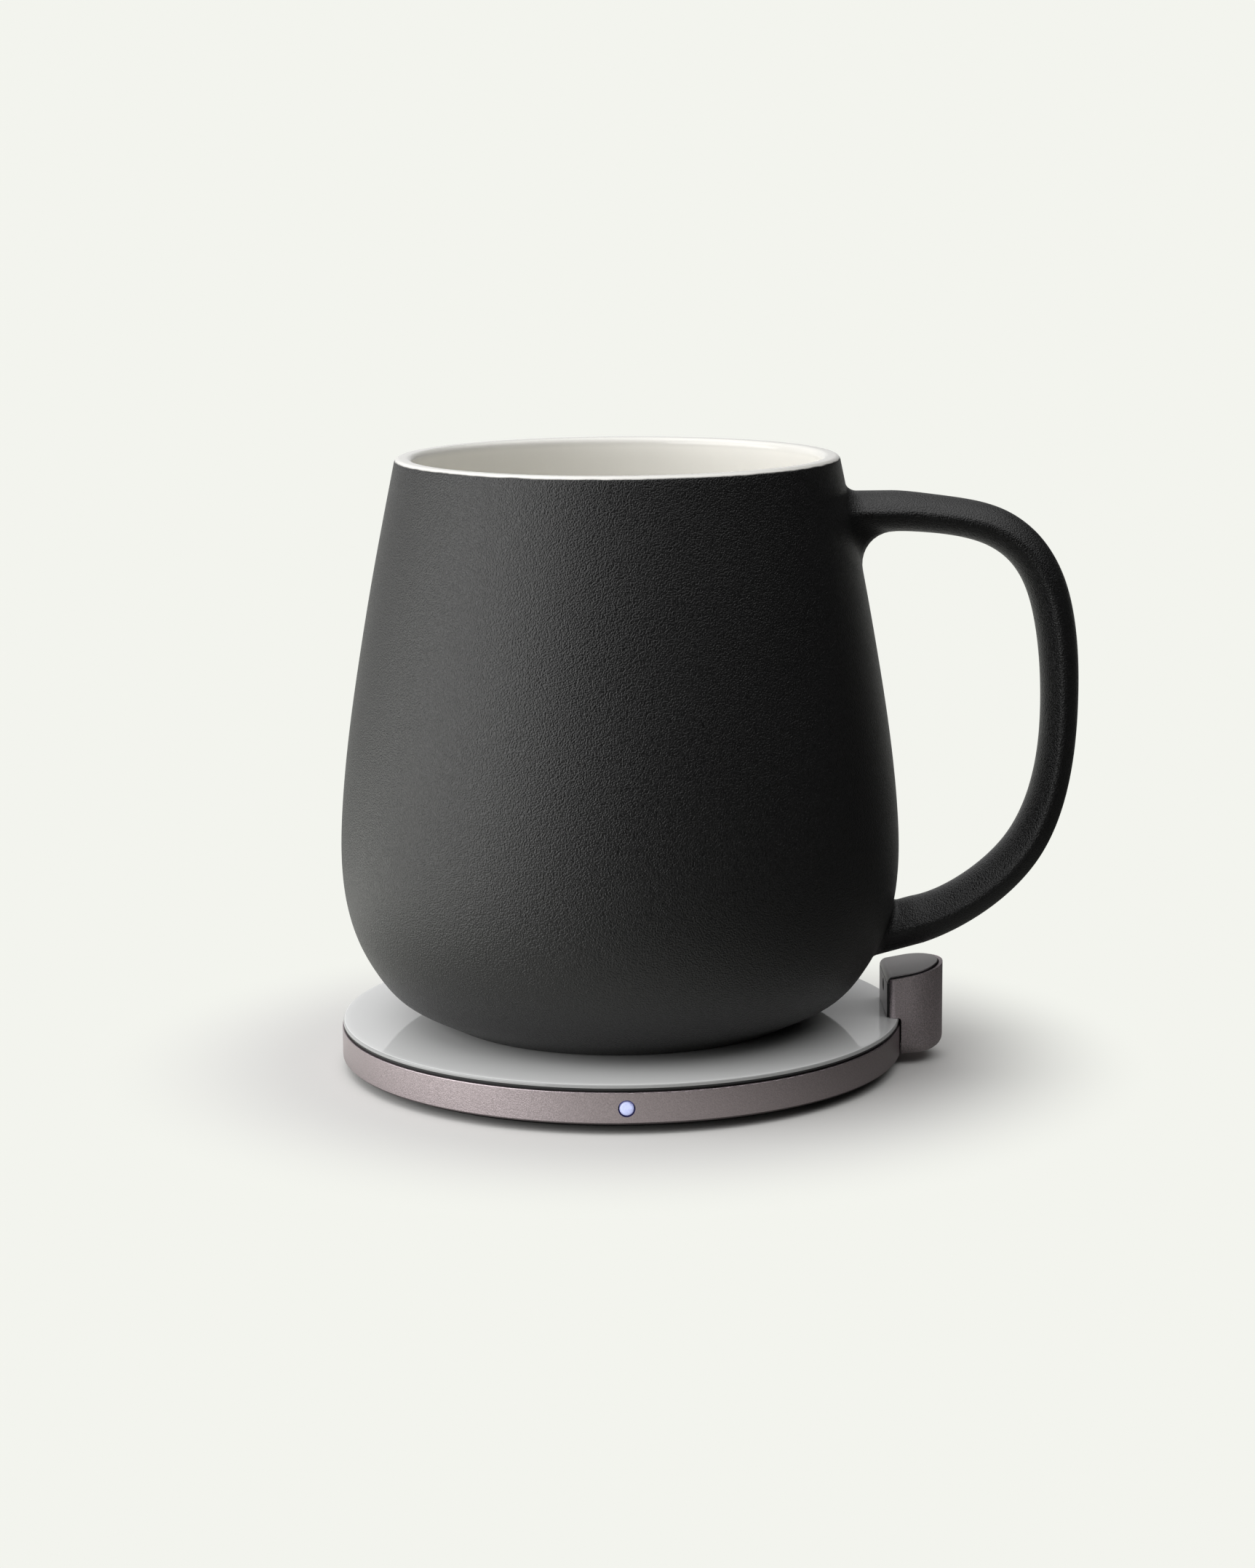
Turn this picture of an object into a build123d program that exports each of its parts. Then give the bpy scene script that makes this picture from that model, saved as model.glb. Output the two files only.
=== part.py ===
from build123d import *

# Self heating mug on its round heating dock, with a sensor post at the dock's edge.
# Millimetres and degrees, +Z up, origin on the table at the centre of the dock's foot.
# +X points to the handle and the post, -Y to the indicator, +Y to the power socket.

import os
from math import cos, hypot, radians, sin, sqrt, tan

# Gaps and overruns that all pieces share
CUT_OVERRUN = 3.0
DROP_IN_GAP = 0.1
LAYER_GAP = 0.05
SCREW_GAP = 0.1
EDGE_BREAK = 0.15

# Mug shell: outline as shares of the height and of the widest radius
MUG_HEIGHT = 99.8
MUG_RADIUS = 49.45
MUG_WALL = 3.3
MUG_FLOOR = 3.5
MUG_OUTLINE_SHARES = (
    (0.0, 0.632),
    (0.02, 0.7125),
    (0.05, 0.8174),
    (0.09, 0.8853),
    (0.14, 0.9416),
    (0.2, 0.9806),
    (0.28, 1.0),
    (0.38, 0.9943),
    (0.5, 0.9687),
    (0.65, 0.9218),
    (0.8, 0.8668),
    (0.995, 0.7856),
    (1.06, 0.7585),
)
INNER_WALL_SHARES = (0.09, 0.14, 0.2, 0.28, 0.38, 0.5, 0.62, 0.74, 0.86, 0.95, 1.0)
FLOOR_CORNER_RADIUS = 8.0
LIP_OUTER_RADIUS = 0.8
LIP_INNER_RADIUS = 1.6
FOOT_EDGE_RADIUS = 0.6
SEARCH_STEPS = 40

# Recess under the mug that holds the heater
FOOT_RING_WIDTH = 5.25
LEDGE_WIDTH = 2.0
RECESS_DEPTH = 7.5
BASE_PLATE_INSET = 0.4
BASE_PLATE_THICKNESS = 1.2
BASE_SEAL_THICKNESS = 0.4
BASE_SEAL_WIDTH = 1.5

# Handle: reach from the wall, height and thickness as shares of the values below
HANDLE_REACH = 30.8
HANDLE_THICKNESS = 6.7
HANDLE_WIDTH = 13.0
HANDLE_EDGE_RADIUS = 1.2
HANDLE_STATION_SHARES = (
    (-0.09, 0.862, 2.05, 1.25),
    (0.105, 0.8865, 1.45, 1.1),
    (0.23, 0.896, 1.09, 1.03),
    (0.435, 0.894, 1.01, 1.0),
    (0.625, 0.8855, 1.0, 1.0),
    (0.8, 0.8685, 1.03, 1.0),
    (0.943, 0.832, 1.03, 1.0),
    (1.026, 0.773, 1.04, 1.0),
    (1.047, 0.7065, 1.04, 1.0),
    (1.008, 0.5665, 0.99, 1.0),
    (0.911, 0.4256, 0.98, 1.0),
    (0.72, 0.2927, 1.07, 1.0),
    (0.5757, 0.2396, 1.12, 1.0),
    (0.4095, 0.197, 1.16, 1.0),
    (0.228, 0.1673, 1.24, 1.0),
    (0.073, 0.155, 1.45, 1.05),
    (-0.1, 0.149, 1.75, 1.2),
)

# Dock: stack of foot, cover, ring, gasket and glass
DOCK_MARGIN = 0.55
DOCK_RADIUS = MUG_RADIUS + DOCK_MARGIN
FOOT_SETBACK = 6.0
FOOT_HEIGHT = 1.0
FOOT_CHAMFER = 0.3
COVER_THICKNESS = 1.5
COVER_STEP = 0.8
RING_HEIGHT = 5.5
RING_WALL = 1.8
RING_CHAMFER = 0.35
GASKET_THICKNESS = 0.3
GASKET_SETBACK = 0.6
GASKET_WIDTH = 2.2
GLASS_THICKNESS = 1.0
GLASS_SETBACK = 0.2
GLASS_EDGE_RADIUS = 0.35

# Cover screws and the lugs that take them
LUG_COUNT = 4
LUG_START_ANGLE = 45.0
LUG_RADIUS = 2.6
LUG_BITE = 0.6
LUG_HEIGHT = 3.6
COVER_SCREW_RADIUS = 1.0
COVER_SCREW_LENGTH = 3.2
COVER_SCREW_HEAD_RADIUS = 1.9
COVER_SCREW_HEAD_HEIGHT = 0.6
SCREW_HEAD_INSET = 0.1
SCREW_SOCKET_SHARE = 0.45
SCREW_SOCKET_DEPTH_SHARE = 0.5

# Coils, ferrites and what carries them
SEND_WIRE = 1.0
SEND_INNER_RADIUS = 9.0
SEND_PITCH = 1.45
TAKE_WIRE = 0.8
TAKE_MARGIN = 4.35
TAKE_PITCH = 1.25
TAKE_TURNS = 9
COIL_SAMPLES = 400
COIL_FILM_THICKNESS = 0.2
FERRITE_THICKNESS = 0.9
FERRITE_MARGIN = 0.5
CARRIER_FLOOR = 0.8
CARRIER_WALL = 1.2
CARRIER_GAP = 0.2
FOAM_RADIUS = 2.5
FOAM_HEIGHT = 0.7
THERMISTOR_LENGTH = 2.0
THERMISTOR_WIDTH = 1.2

# Heater stack inside the mug's recess
HEATER_FILM_THICKNESS = 0.2
RECEIVER_BOARD_THICKNESS = 0.8
RECEIVER_BOARD_MARGIN = 1.5
PAD_RING_WIDTH = 10.5
RECEIVER_CHIP_HEIGHT = 1.1
RECEIVER_CHIP_SIZE = 4.0
RECEIVER_CHIP_COUNT = 4
CUTOUT_RADIUS = 3.2

# Main board and what stands on it
BOARD_THICKNESS = 1.0
BOARD_LIFT = 0.5
BOARD_EDGE_GAP = 2.2
BOARD_BAND_WIDTH = 22.2
BOARD_CARRIER_GAP = 1.3
BOARD_START_ANGLE = -105.0
BOARD_END_ANGLE = 120.0
BOARD_LUG_GAP = 0.4
WEDGE_STEPS = 4
BOARD_SCREW_ANGLES = (-68.0, 22.0, 112.0)
BOARD_SCREW_RADIUS = 0.8
BOARD_SCREW_LENGTH = 2.0
BOARD_SCREW_HEAD_RADIUS = 1.5
BOARD_SCREW_HEAD_HEIGHT = 0.6
STANDOFF_RADIUS = 2.2
CHIP_HEIGHT = 0.9
CHIP_SIZE = 4.4
CHIP_ANGLES = (-36.0, -22.0, 62.0, 76.0)
SWITCH_SIZE = 3.2
SWITCH_ANGLES = (-57.0, -48.0)
SWITCH_SPREAD = 5.0
INDUCTOR_SIZE = 6.6
INDUCTOR_HEIGHT = 2.8
INDUCTOR_ANGLE = 40.0
INDUCTOR_CORNER = 1.2
CAPACITOR_LENGTH = 3.2
CAPACITOR_WIDTH = 2.5
CAPACITOR_HEIGHT = 1.6
CAPACITOR_ANGLES = (-98.0, -92.0, -86.0, -80.0)
CONNECTOR_LENGTH = 2.6
CONNECTOR_WIDTH = 5.0
CONNECTOR_HEIGHT = 1.1
CONNECTOR_EDGE_GAP = 0.9

# Power socket at the back
USB_WIDTH = 8.94
USB_HEIGHT = 3.26
USB_CORNER = 1.2
USB_SHELL_WALL = 0.3
USB_LENGTH = 7.4
USB_SETBACK = 1.0
USB_BLOCK_LENGTH = 2.0
USB_TONGUE_WIDTH = 6.69
USB_TONGUE_THICKNESS = 0.7
USB_TONGUE_LENGTH = 4.6

# Indicator at the front
LENS_RADIUS = 1.25
LENS_HOLE_GAP = 0.2
LENS_PROUD = 0.1
LENS_DOME = 0.4
LED_WIDTH = 1.6
LED_DEPTH = 0.8
LED_HEIGHT = 1.2

# Sensor post: half round sleeve with an inclined top, and a strip over its front and top
POST_HALF_WIDTH = 8.25
POST_FRONT_INSET = 2.2
POST_SHOULDER = 3.2
POST_NOSE = 6.7
POST_WALL = 0.65
POST_FLOOR = 1.4
POST_BOTTOM_RADIUS = 2.2
POST_CORNER_RADIUS = 1.2
POST_RISE = 7.25
POST_TOP_SLOPE = 10.3
POST_RIM_BREAK = 0.2
POST_RING_GAP = 0.1
STRIP_GAP = 0.25
STRIP_PROUD = 0.5
STRIP_TOP_PROUD = 0.4
FACE_THICKNESS = 0.6
CAP_THICKNESS = 0.8
CAP_LIP = 1.05
CAP_FRONT_RADIUS = 1.1
CAP_EDGE_RADIUS = 0.2
SEAM_GAP = 0.06
FRAME_WALL = 0.9
FRAME_FRONT_WALL = 0.7
FRAME_BLOCK_RISE = 0.6
SENSOR_RISE = 4.3
SENSOR_HOLE_RADIUS = 1.15
SENSOR_WINDOW_THICKNESS = 0.35
SENSOR_CAN_RADIUS = 2.05
SENSOR_CAN_LENGTH = 2.6
SENSOR_BOARD_THICKNESS = 0.8
SENSOR_BOARD_WIDTH = 10.6
SENSOR_BOARD_HEIGHT = 5.9
CABLE_WIDTH = 3.0
CABLE_THICKNESS = 0.2
CABLE_BEND = 0.5
CABLE_RISE = 1.2
CABLE_ROOM = 0.6
POST_SCREW_SPREAD = 5.2
POST_SCREW_RADIUS = 0.8
POST_SCREW_REACH = 3.2
POST_SCREW_HEAD_RADIUS = 1.4
POST_SCREW_HEAD_HEIGHT = 0.8

# Heights of the dock's layers above the table
COVER_BOTTOM = FOOT_HEIGHT
COVER_TOP = COVER_BOTTOM + COVER_THICKNESS
RING_BOTTOM = COVER_BOTTOM + COVER_STEP
RING_TOP = RING_BOTTOM + RING_HEIGHT
RING_MIDDLE = (RING_BOTTOM + RING_TOP) / 2
GLASS_BOTTOM = RING_TOP + GASKET_THICKNESS
GLASS_TOP = GLASS_BOTTOM + GLASS_THICKNESS
RING_INNER_RADIUS = DOCK_RADIUS - RING_WALL
COVER_RADIUS = RING_INNER_RADIUS - DROP_IN_GAP
LUG_PLACE = RING_INNER_RADIUS - LUG_RADIUS + LUG_BITE

# Heights and radii of the sending coil's stack, from the glass down
FILM_BOTTOM = GLASS_BOTTOM - COIL_FILM_THICKNESS
SEND_HEIGHT = FILM_BOTTOM - LAYER_GAP - SEND_WIRE / 2
FERRITE_TOP = SEND_HEIGHT - SEND_WIRE / 2 - LAYER_GAP
FERRITE_BOTTOM = FERRITE_TOP - FERRITE_THICKNESS
CARRIER_RADIUS = RING_INNER_RADIUS - BOARD_BAND_WIDTH
CARRIER_INNER_RADIUS = CARRIER_RADIUS - CARRIER_WALL
FERRITE_RADIUS = CARRIER_INNER_RADIUS - CARRIER_GAP
SEND_ROOM = FERRITE_RADIUS - FERRITE_MARGIN - SEND_WIRE / 2 - SEND_INNER_RADIUS
SEND_TURNS = int(SEND_ROOM / SEND_PITCH)

# Main board
BOARD_BOTTOM = COVER_TOP + BOARD_LIFT
BOARD_TOP = BOARD_BOTTOM + BOARD_THICKNESS
BOARD_RADIUS = RING_INNER_RADIUS - BOARD_EDGE_GAP
BOARD_INNER_RADIUS = CARRIER_RADIUS + BOARD_CARRIER_GAP
BOARD_MIDDLE = (BOARD_RADIUS + BOARD_INNER_RADIUS) / 2
CONNECTOR_PLACE = BOARD_RADIUS - CONNECTOR_EDGE_GAP - CONNECTOR_LENGTH / 2
CABLE_HEIGHT = BOARD_TOP + CONNECTOR_HEIGHT / 2

# Post
SLEEVE_FRONT = DOCK_RADIUS - POST_FRONT_INSET
SHOULDER_X = SLEEVE_FRONT + POST_SHOULDER
STRIP_INSET = POST_WALL + STRIP_GAP
STRIP_HALF_WIDTH = POST_HALF_WIDTH - STRIP_INSET
FACE_FRONT = SLEEVE_FRONT - STRIP_PROUD
FACE_BACK = FACE_FRONT + FACE_THICKNESS
POST_FRONT_TOP = GLASS_TOP + POST_RISE
FRAME_INSET = POST_WALL + DROP_IN_GAP
POST_BOTTOM = RING_BOTTOM
FRAME_BOTTOM = POST_BOTTOM + POST_FLOOR
BLOCK_TOP = GLASS_TOP + FRAME_BLOCK_RISE
SENSOR_HEIGHT = GLASS_TOP + SENSOR_RISE
CAN_FRONT = FACE_BACK + LAYER_GAP
CAN_BACK = CAN_FRONT + SENSOR_CAN_LENGTH

# Mug
MUG_BOTTOM = GLASS_TOP
PLATE_RADIUS = MUG_RADIUS * MUG_OUTLINE_SHARES[0][1] - FOOT_RING_WIDTH
RECESS_RADIUS = PLATE_RADIUS - LEDGE_WIDTH
PAD_POCKET_RADIUS = RECESS_RADIUS - PAD_RING_WIDTH
RECEIVER_CHIP_REACH = (PAD_POCKET_RADIUS + CUTOUT_RADIUS) / 2
PLATE_BOTTOM = MUG_BOTTOM + BASE_PLATE_INSET
PLATE_TOP = PLATE_BOTTOM + BASE_PLATE_THICKNESS
LEDGE_HEIGHT = PLATE_TOP + BASE_SEAL_THICKNESS
TAKE_HEIGHT = PLATE_TOP + LAYER_GAP + TAKE_WIRE / 2
TAKE_OUTER_RADIUS = RECESS_RADIUS - TAKE_MARGIN
TAKE_INNER_RADIUS = TAKE_OUTER_RADIUS - TAKE_PITCH * TAKE_TURNS - TAKE_WIRE / 2
TAKE_FERRITE_BOTTOM = TAKE_HEIGHT + TAKE_WIRE / 2 + LAYER_GAP
TAKE_FERRITE_TOP = TAKE_FERRITE_BOTTOM + FERRITE_THICKNESS
RECEIVER_BOARD_BOTTOM = TAKE_FERRITE_TOP + LAYER_GAP
RECEIVER_BOARD_TOP = RECEIVER_BOARD_BOTTOM + RECEIVER_BOARD_THICKNESS
RECESS_TOP = MUG_BOTTOM + RECESS_DEPTH
FILM_UNDERSIDE = RECESS_TOP - HEATER_FILM_THICKNESS


# Simple solids

def disc(radius, bottom, top):
    """A round plate on the Z axis between two heights."""
    plate = Cylinder(radius, top - bottom, align=(Align.CENTER, Align.CENTER, Align.MIN))
    return Pos(0, 0, bottom) * plate


def ring(outer_radius, inner_radius, bottom, top):
    """A flat ring on the Z axis between two heights."""
    hole = disc(inner_radius, bottom - CUT_OVERRUN, top + CUT_OVERRUN)
    return disc(outer_radius, bottom, top) - hole


def block(x_low, x_high, width, bottom, top):
    """A box centred on Y."""
    body = Box(x_high - x_low, width, top - bottom, align=(Align.MIN, Align.CENTER, Align.MIN))
    return Pos(x_low, 0, bottom) * body


def rod_along_x(radius, x_low, x_high, y, z):
    """A round bar that lies along X."""
    bar = Cylinder(radius, x_high - x_low, align=(Align.CENTER, Align.CENTER, Align.MIN))
    return Pos(x_low, y, z) * Rot(0, 90, 0) * bar


def around(angle, radius, height):
    """The place at an angle and radius about the Z axis, turned to face outwards."""
    return Rot(0, 0, angle) * Pos(radius, 0, height)


def on_board(angle, radius, length, width, height):
    """A box that stands on the main board."""
    body = Box(length, width, height, align=(Align.CENTER, Align.CENTER, Align.MIN))
    return around(angle, radius, BOARD_TOP) * body


def group(solids):
    """Separate like pieces that share one node."""
    return Compound(children=list(solids))


def edges_at(solid, height):
    """The edges that lie flat at one height."""
    return solid.edges().filter_by_position(Axis.Z, height, height)


def screw(shank_radius, length, head_radius, head_height):
    """A pan head screw that points down, its head standing on height zero."""
    head = disc(head_radius, 0, head_height)
    socket_bottom = head_height * (1 - SCREW_SOCKET_DEPTH_SHARE)
    socket = extrude(RegularPolygon(head_radius * SCREW_SOCKET_SHARE, 6), head_height)
    shank = disc(shank_radius, -length, 0)
    return head + shank - Pos(0, 0, socket_bottom) * socket


# Wound coils

def spiral_edges(inner_radius, pitch, turns, height, wire):
    """A flat spiral of half circles, with a short straight run at each end."""
    edges = [Line((inner_radius, -wire, height), (inner_radius, 0, height))]
    start = inner_radius
    radius = inner_radius
    for half in range(2 * turns):
        side = 1 if half % 2 == 0 else -1
        centre = start - side * radius
        middle = (centre, side * radius, height)
        end = centre - side * radius
        edges.append(ThreePointArc((start, 0, height), middle, (end, 0, height)))
        start = end
        radius += pitch / 2
    edges.append(Line((start, 0, height), (start, wire, height)))
    return edges


def coil(inner_radius, pitch, turns, height, wire):
    """One unbroken round wire swept along the flat spiral."""
    path = Wire(spiral_edges(inner_radius, pitch, turns, height, wire))
    start = Plane(origin=path @ 0, z_dir=path % 0)
    return sweep(start * Circle(wire / 2), path=path)


def least_gap(inner_radius, pitch, turns, wire):
    """The smallest gap between neighbouring turns, measured on points of the spiral."""
    path = Wire(spiral_edges(inner_radius, pitch, turns, 0, wire))
    points = [path.position_at(step / COIL_SAMPLES) for step in range(COIL_SAMPLES + 1)]
    gap = pitch * turns
    for index, point in enumerate(points):
        walked = 0
        for other in range(index + 1, len(points)):
            walked += (points[other] - points[other - 1]).length
            if walked > 2 * inner_radius:
                gap = min(gap, (points[other] - point).length - wire)
    return gap


# Mug shell

def mug_outline():
    """The outer side line of the mug, radius along X and height along Y."""
    return Spline(*[(MUG_RADIUS * across, MUG_HEIGHT * up) for up, across in MUG_OUTLINE_SHARES])


def wall_radius(outline, height):
    """The mug's outer radius at a height above its foot."""
    low = 0
    high = 1
    for _ in range(SEARCH_STEPS):
        middle = (low + high) / 2
        if (outline @ middle).Y < height:
            low = middle
        else:
            high = middle
    return (outline @ low).X


def region_inside(outline):
    """The flat region between a side line and the axis."""
    foot = outline @ 0
    top = outline @ 1
    base = Line((0, foot.Y), foot)
    lid = Line(top, (0, top.Y))
    axis = Line((0, top.Y), (0, foot.Y))
    return make_face([base, outline, lid, axis])


def flat_box(x_high, y_low, y_high):
    """A flat rectangle from the axis outwards."""
    shape = Rectangle(x_high, y_high - y_low, align=(Align.MIN, Align.MIN))
    return Pos(0, y_low) * shape


def turned(section):
    """The solid that a flat region sweeps about the mug's axis."""
    return Pos(0, 0, MUG_BOTTOM) * revolve(Plane.XZ * section, axis=Axis.Z)


def mug_cavity(outline):
    """The flat region of the drink, with its rounded floor corner."""
    points = []
    for share in INNER_WALL_SHARES:
        along = outline % share
        inward = Vector(-along.Y, along.X)
        points.append(outline @ share + inward * MUG_WALL)
    region = region_inside(Spline(*points))
    floor = RECESS_DEPTH + MUG_FLOOR
    region -= flat_box(MUG_RADIUS, -CUT_OVERRUN, floor)
    corner = region.vertices().group_by(Axis.Y)[0].sort_by(Axis.X)[-1]
    return fillet(corner, FLOOR_CORNER_RADIUS)


def mug_body(outline):
    """The glazed shell with its foot ring, heater recess and rounded lip."""
    section = region_inside(outline) - mug_cavity(outline)
    overshoot = (outline @ 1).Y + CUT_OVERRUN
    section -= flat_box(MUG_RADIUS, MUG_HEIGHT, overshoot)
    section -= flat_box(RECESS_RADIUS, -CUT_OVERRUN, RECESS_DEPTH)
    section -= flat_box(PLATE_RADIUS, -CUT_OVERRUN, LEDGE_HEIGHT - MUG_BOTTOM)
    lip = section.vertices().group_by(Axis.Y)[-1].sort_by(Axis.X)
    section = fillet(lip[-1], LIP_OUTER_RADIUS)
    lip = section.vertices().group_by(Axis.Y)[-1].sort_by(Axis.X)
    section = fillet(lip[0], LIP_INNER_RADIUS)
    foot = section.vertices().group_by(Axis.Y)[0].sort_by(Axis.X)
    section = fillet(foot[-1], FOOT_EDGE_RADIUS)
    foot = section.vertices().group_by(Axis.Y)[0].sort_by(Axis.X)
    section = chamfer(foot[0], EDGE_BREAK)
    return turned(section)


def oval_section(half_width, half_thickness):
    """A pointed oval: two domes that meet in softly rounded side edges."""
    side = half_width - HANDLE_EDGE_RADIUS
    rise = half_thickness - HANDLE_EDGE_RADIUS
    dome_radius = (side**2 + half_thickness**2 - HANDLE_EDGE_RADIUS**2) / (2 * rise)
    dome_drop = dome_radius - half_thickness
    reach = hypot(side, dome_drop)
    touch_x = side * dome_radius / reach
    touch_y = dome_drop * HANDLE_EDGE_RADIUS / reach
    top = ThreePointArc((-touch_x, touch_y), (0, half_thickness), (touch_x, touch_y))
    right = ThreePointArc((touch_x, touch_y), (half_width, 0), (touch_x, -touch_y))
    bottom = ThreePointArc((touch_x, -touch_y), (0, -half_thickness), (-touch_x, -touch_y))
    left = ThreePointArc((-touch_x, -touch_y), (-half_width, 0), (-touch_x, touch_y))
    return make_face([top, right, bottom, left])


def mug_handle(outline):
    """The looped handle, trimmed where its ends meet the shell."""
    centres = []
    for reach, up, _, _ in HANDLE_STATION_SHARES:
        height = MUG_HEIGHT * up
        centres.append((wall_radius(outline, height) + HANDLE_REACH * reach, 0, MUG_BOTTOM + height))
    path = Spline(*centres)
    sections = []
    for centre, (_, _, thick, wide) in zip(centres, HANDLE_STATION_SHARES):
        plane = Plane(origin=centre, x_dir=(0, 1, 0), z_dir=path.tangent_at(Vector(centre)))
        half_width = HANDLE_WIDTH * wide / 2
        half_thickness = HANDLE_THICKNESS * thick / 2
        sections.append(plane * oval_section(half_width, half_thickness))
    return loft(sections) - turned(region_inside(outline))


# Heater inside the mug

def base_plate():
    """The plate that closes the recess."""
    plate = disc(PLATE_RADIUS - DROP_IN_GAP, PLATE_BOTTOM, PLATE_TOP)
    return chamfer(edges_at(plate, PLATE_BOTTOM), EDGE_BREAK)


def base_seal():
    """The seal between the plate and the recess's ledge."""
    outer = PLATE_RADIUS - DROP_IN_GAP
    return ring(outer, outer - BASE_SEAL_WIDTH, PLATE_TOP, LEDGE_HEIGHT)


def insulation_pad():
    """The foam pad that presses the heater film up, with a pocket for the parts on the board."""
    radius = RECESS_RADIUS - DROP_IN_GAP
    return ring(radius, PAD_POCKET_RADIUS, RECEIVER_BOARD_TOP, FILM_UNDERSIDE)


def receiver_chips():
    """The rectifier and control parts on the receiver board."""
    size = RECEIVER_CHIP_SIZE
    top = RECEIVER_CHIP_HEIGHT
    body = Box(size, size, top, align=(Align.CENTER, Align.CENTER, Align.MIN))
    angles = [360 / RECEIVER_CHIP_COUNT * index for index in range(RECEIVER_CHIP_COUNT)]
    return group([around(angle, RECEIVER_CHIP_REACH, RECEIVER_BOARD_TOP) * body for angle in angles])


# Dock housing

def foot_pad():
    """The soft disc that the dock stands on."""
    foot = disc(DOCK_RADIUS - FOOT_SETBACK, 0, FOOT_HEIGHT)
    return chamfer(edges_at(foot, 0), FOOT_CHAMFER)


def lug_places(height):
    """The places of the cover screws."""
    step = 360 / LUG_COUNT
    return [around(LUG_START_ANGLE + step * index, LUG_PLACE, height) for index in range(LUG_COUNT)]


def board_screw_places(height):
    """The places of the main board's screws."""
    return [around(angle, BOARD_MIDDLE, height) for angle in BOARD_SCREW_ANGLES]


def screw_seat():
    """Depth of the pocket for a cover screw's head."""
    return COVER_SCREW_HEAD_HEIGHT + SCREW_HEAD_INSET


def bottom_cover():
    """The cover with its standoffs, screw pockets and pilot holes."""
    cover = disc(COVER_RADIUS, COVER_BOTTOM, COVER_TOP)
    cover = chamfer(edges_at(cover, COVER_BOTTOM), RING_CHAMFER)
    for place in board_screw_places(0):
        cover += place * disc(STANDOFF_RADIUS, COVER_TOP, BOARD_BOTTOM)
    for place in board_screw_places(0):
        pilot_bottom = BOARD_TOP - BOARD_SCREW_LENGTH - LAYER_GAP
        pilot_radius = BOARD_SCREW_RADIUS + LAYER_GAP
        cover -= place * disc(pilot_radius, pilot_bottom, BOARD_BOTTOM + CUT_OVERRUN)
    for place in lug_places(0):
        seat_top = COVER_BOTTOM + screw_seat()
        cover -= place * disc(COVER_SCREW_HEAD_RADIUS + SCREW_GAP, -CUT_OVERRUN, seat_top)
        cover -= place * disc(COVER_SCREW_RADIUS + SCREW_GAP, -CUT_OVERRUN, COVER_TOP + CUT_OVERRUN)
    return cover


def cover_screws():
    """The screws that hold the cover to the ring's lugs."""
    size = (COVER_SCREW_RADIUS, COVER_SCREW_LENGTH, COVER_SCREW_HEAD_RADIUS, COVER_SCREW_HEAD_HEIGHT)
    seat = COVER_BOTTOM + screw_seat()
    return group([place * Rot(180, 0, 0) * screw(*size) for place in lug_places(seat)])


def usb_profile(grow):
    """The power socket's outline, grown by a margin."""
    width = USB_WIDTH + 2 * grow
    height = USB_HEIGHT + 2 * grow
    return RectangleRounded(width, height, USB_CORNER + grow)


def usb_prism(grow, y_low, y_high):
    """The power socket's outline drawn out along Y."""
    facing = Plane(origin=(0, y_low, RING_MIDDLE), x_dir=(-1, 0, 0), z_dir=(0, 1, 0))
    return extrude(facing * usb_profile(grow), y_high - y_low)


def dock_ring():
    """The metal ring with its lugs and its openings for socket, indicator, cable and screws."""
    body = ring(DOCK_RADIUS, RING_INNER_RADIUS, RING_BOTTOM, RING_TOP)
    rims = edges_at(body, RING_BOTTOM).sort_by(SortBy.LENGTH)
    body = chamfer(rims[-1], RING_CHAMFER)
    rims = edges_at(body, RING_TOP).sort_by(SortBy.LENGTH)
    body = fillet(rims[-1], EDGE_BREAK)
    for place in lug_places(0):
        body += place * disc(LUG_RADIUS, COVER_TOP, COVER_TOP + LUG_HEIGHT)
    for place in lug_places(0):
        pilot_top = COVER_BOTTOM + screw_seat() + COVER_SCREW_LENGTH + LAYER_GAP
        body -= place * disc(COVER_SCREW_RADIUS + LAYER_GAP, 0, pilot_top)
    body -= usb_prism(DROP_IN_GAP, RING_INNER_RADIUS - CUT_OVERRUN, DOCK_RADIUS + CUT_OVERRUN)
    hole = rod_along_x(LENS_RADIUS + LENS_HOLE_GAP, RING_INNER_RADIUS - CUT_OVERRUN,
                       DOCK_RADIUS + CUT_OVERRUN, 0, RING_MIDDLE)
    body -= Rot(0, 0, -90) * hole
    window_width = CABLE_WIDTH + 2 * CABLE_ROOM
    window_half_height = CABLE_THICKNESS / 2 + CABLE_ROOM
    body -= block(RING_INNER_RADIUS - CUT_OVERRUN, DOCK_RADIUS + CUT_OVERRUN, window_width,
                  CABLE_HEIGHT - window_half_height, CABLE_HEIGHT + window_half_height)
    for side in (-1, 1):
        body -= rod_along_x(POST_SCREW_RADIUS + SCREW_GAP, RING_INNER_RADIUS - CUT_OVERRUN,
                            DOCK_RADIUS + CUT_OVERRUN, side * POST_SCREW_SPREAD, RING_MIDDLE)
    return body


def glass_gasket():
    """The thin dark seal between ring and glass."""
    outer = DOCK_RADIUS - GASKET_SETBACK
    return ring(outer, outer - GASKET_WIDTH, RING_TOP, GLASS_BOTTOM)


def glass_plate():
    """The glass top with rounded upper edge."""
    plate = disc(DOCK_RADIUS - GLASS_SETBACK, GLASS_BOTTOM, GLASS_TOP)
    plate = fillet(edges_at(plate, GLASS_TOP), GLASS_EDGE_RADIUS)
    return chamfer(edges_at(plate, GLASS_BOTTOM), EDGE_BREAK)


# Sending coil and its carrier

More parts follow.
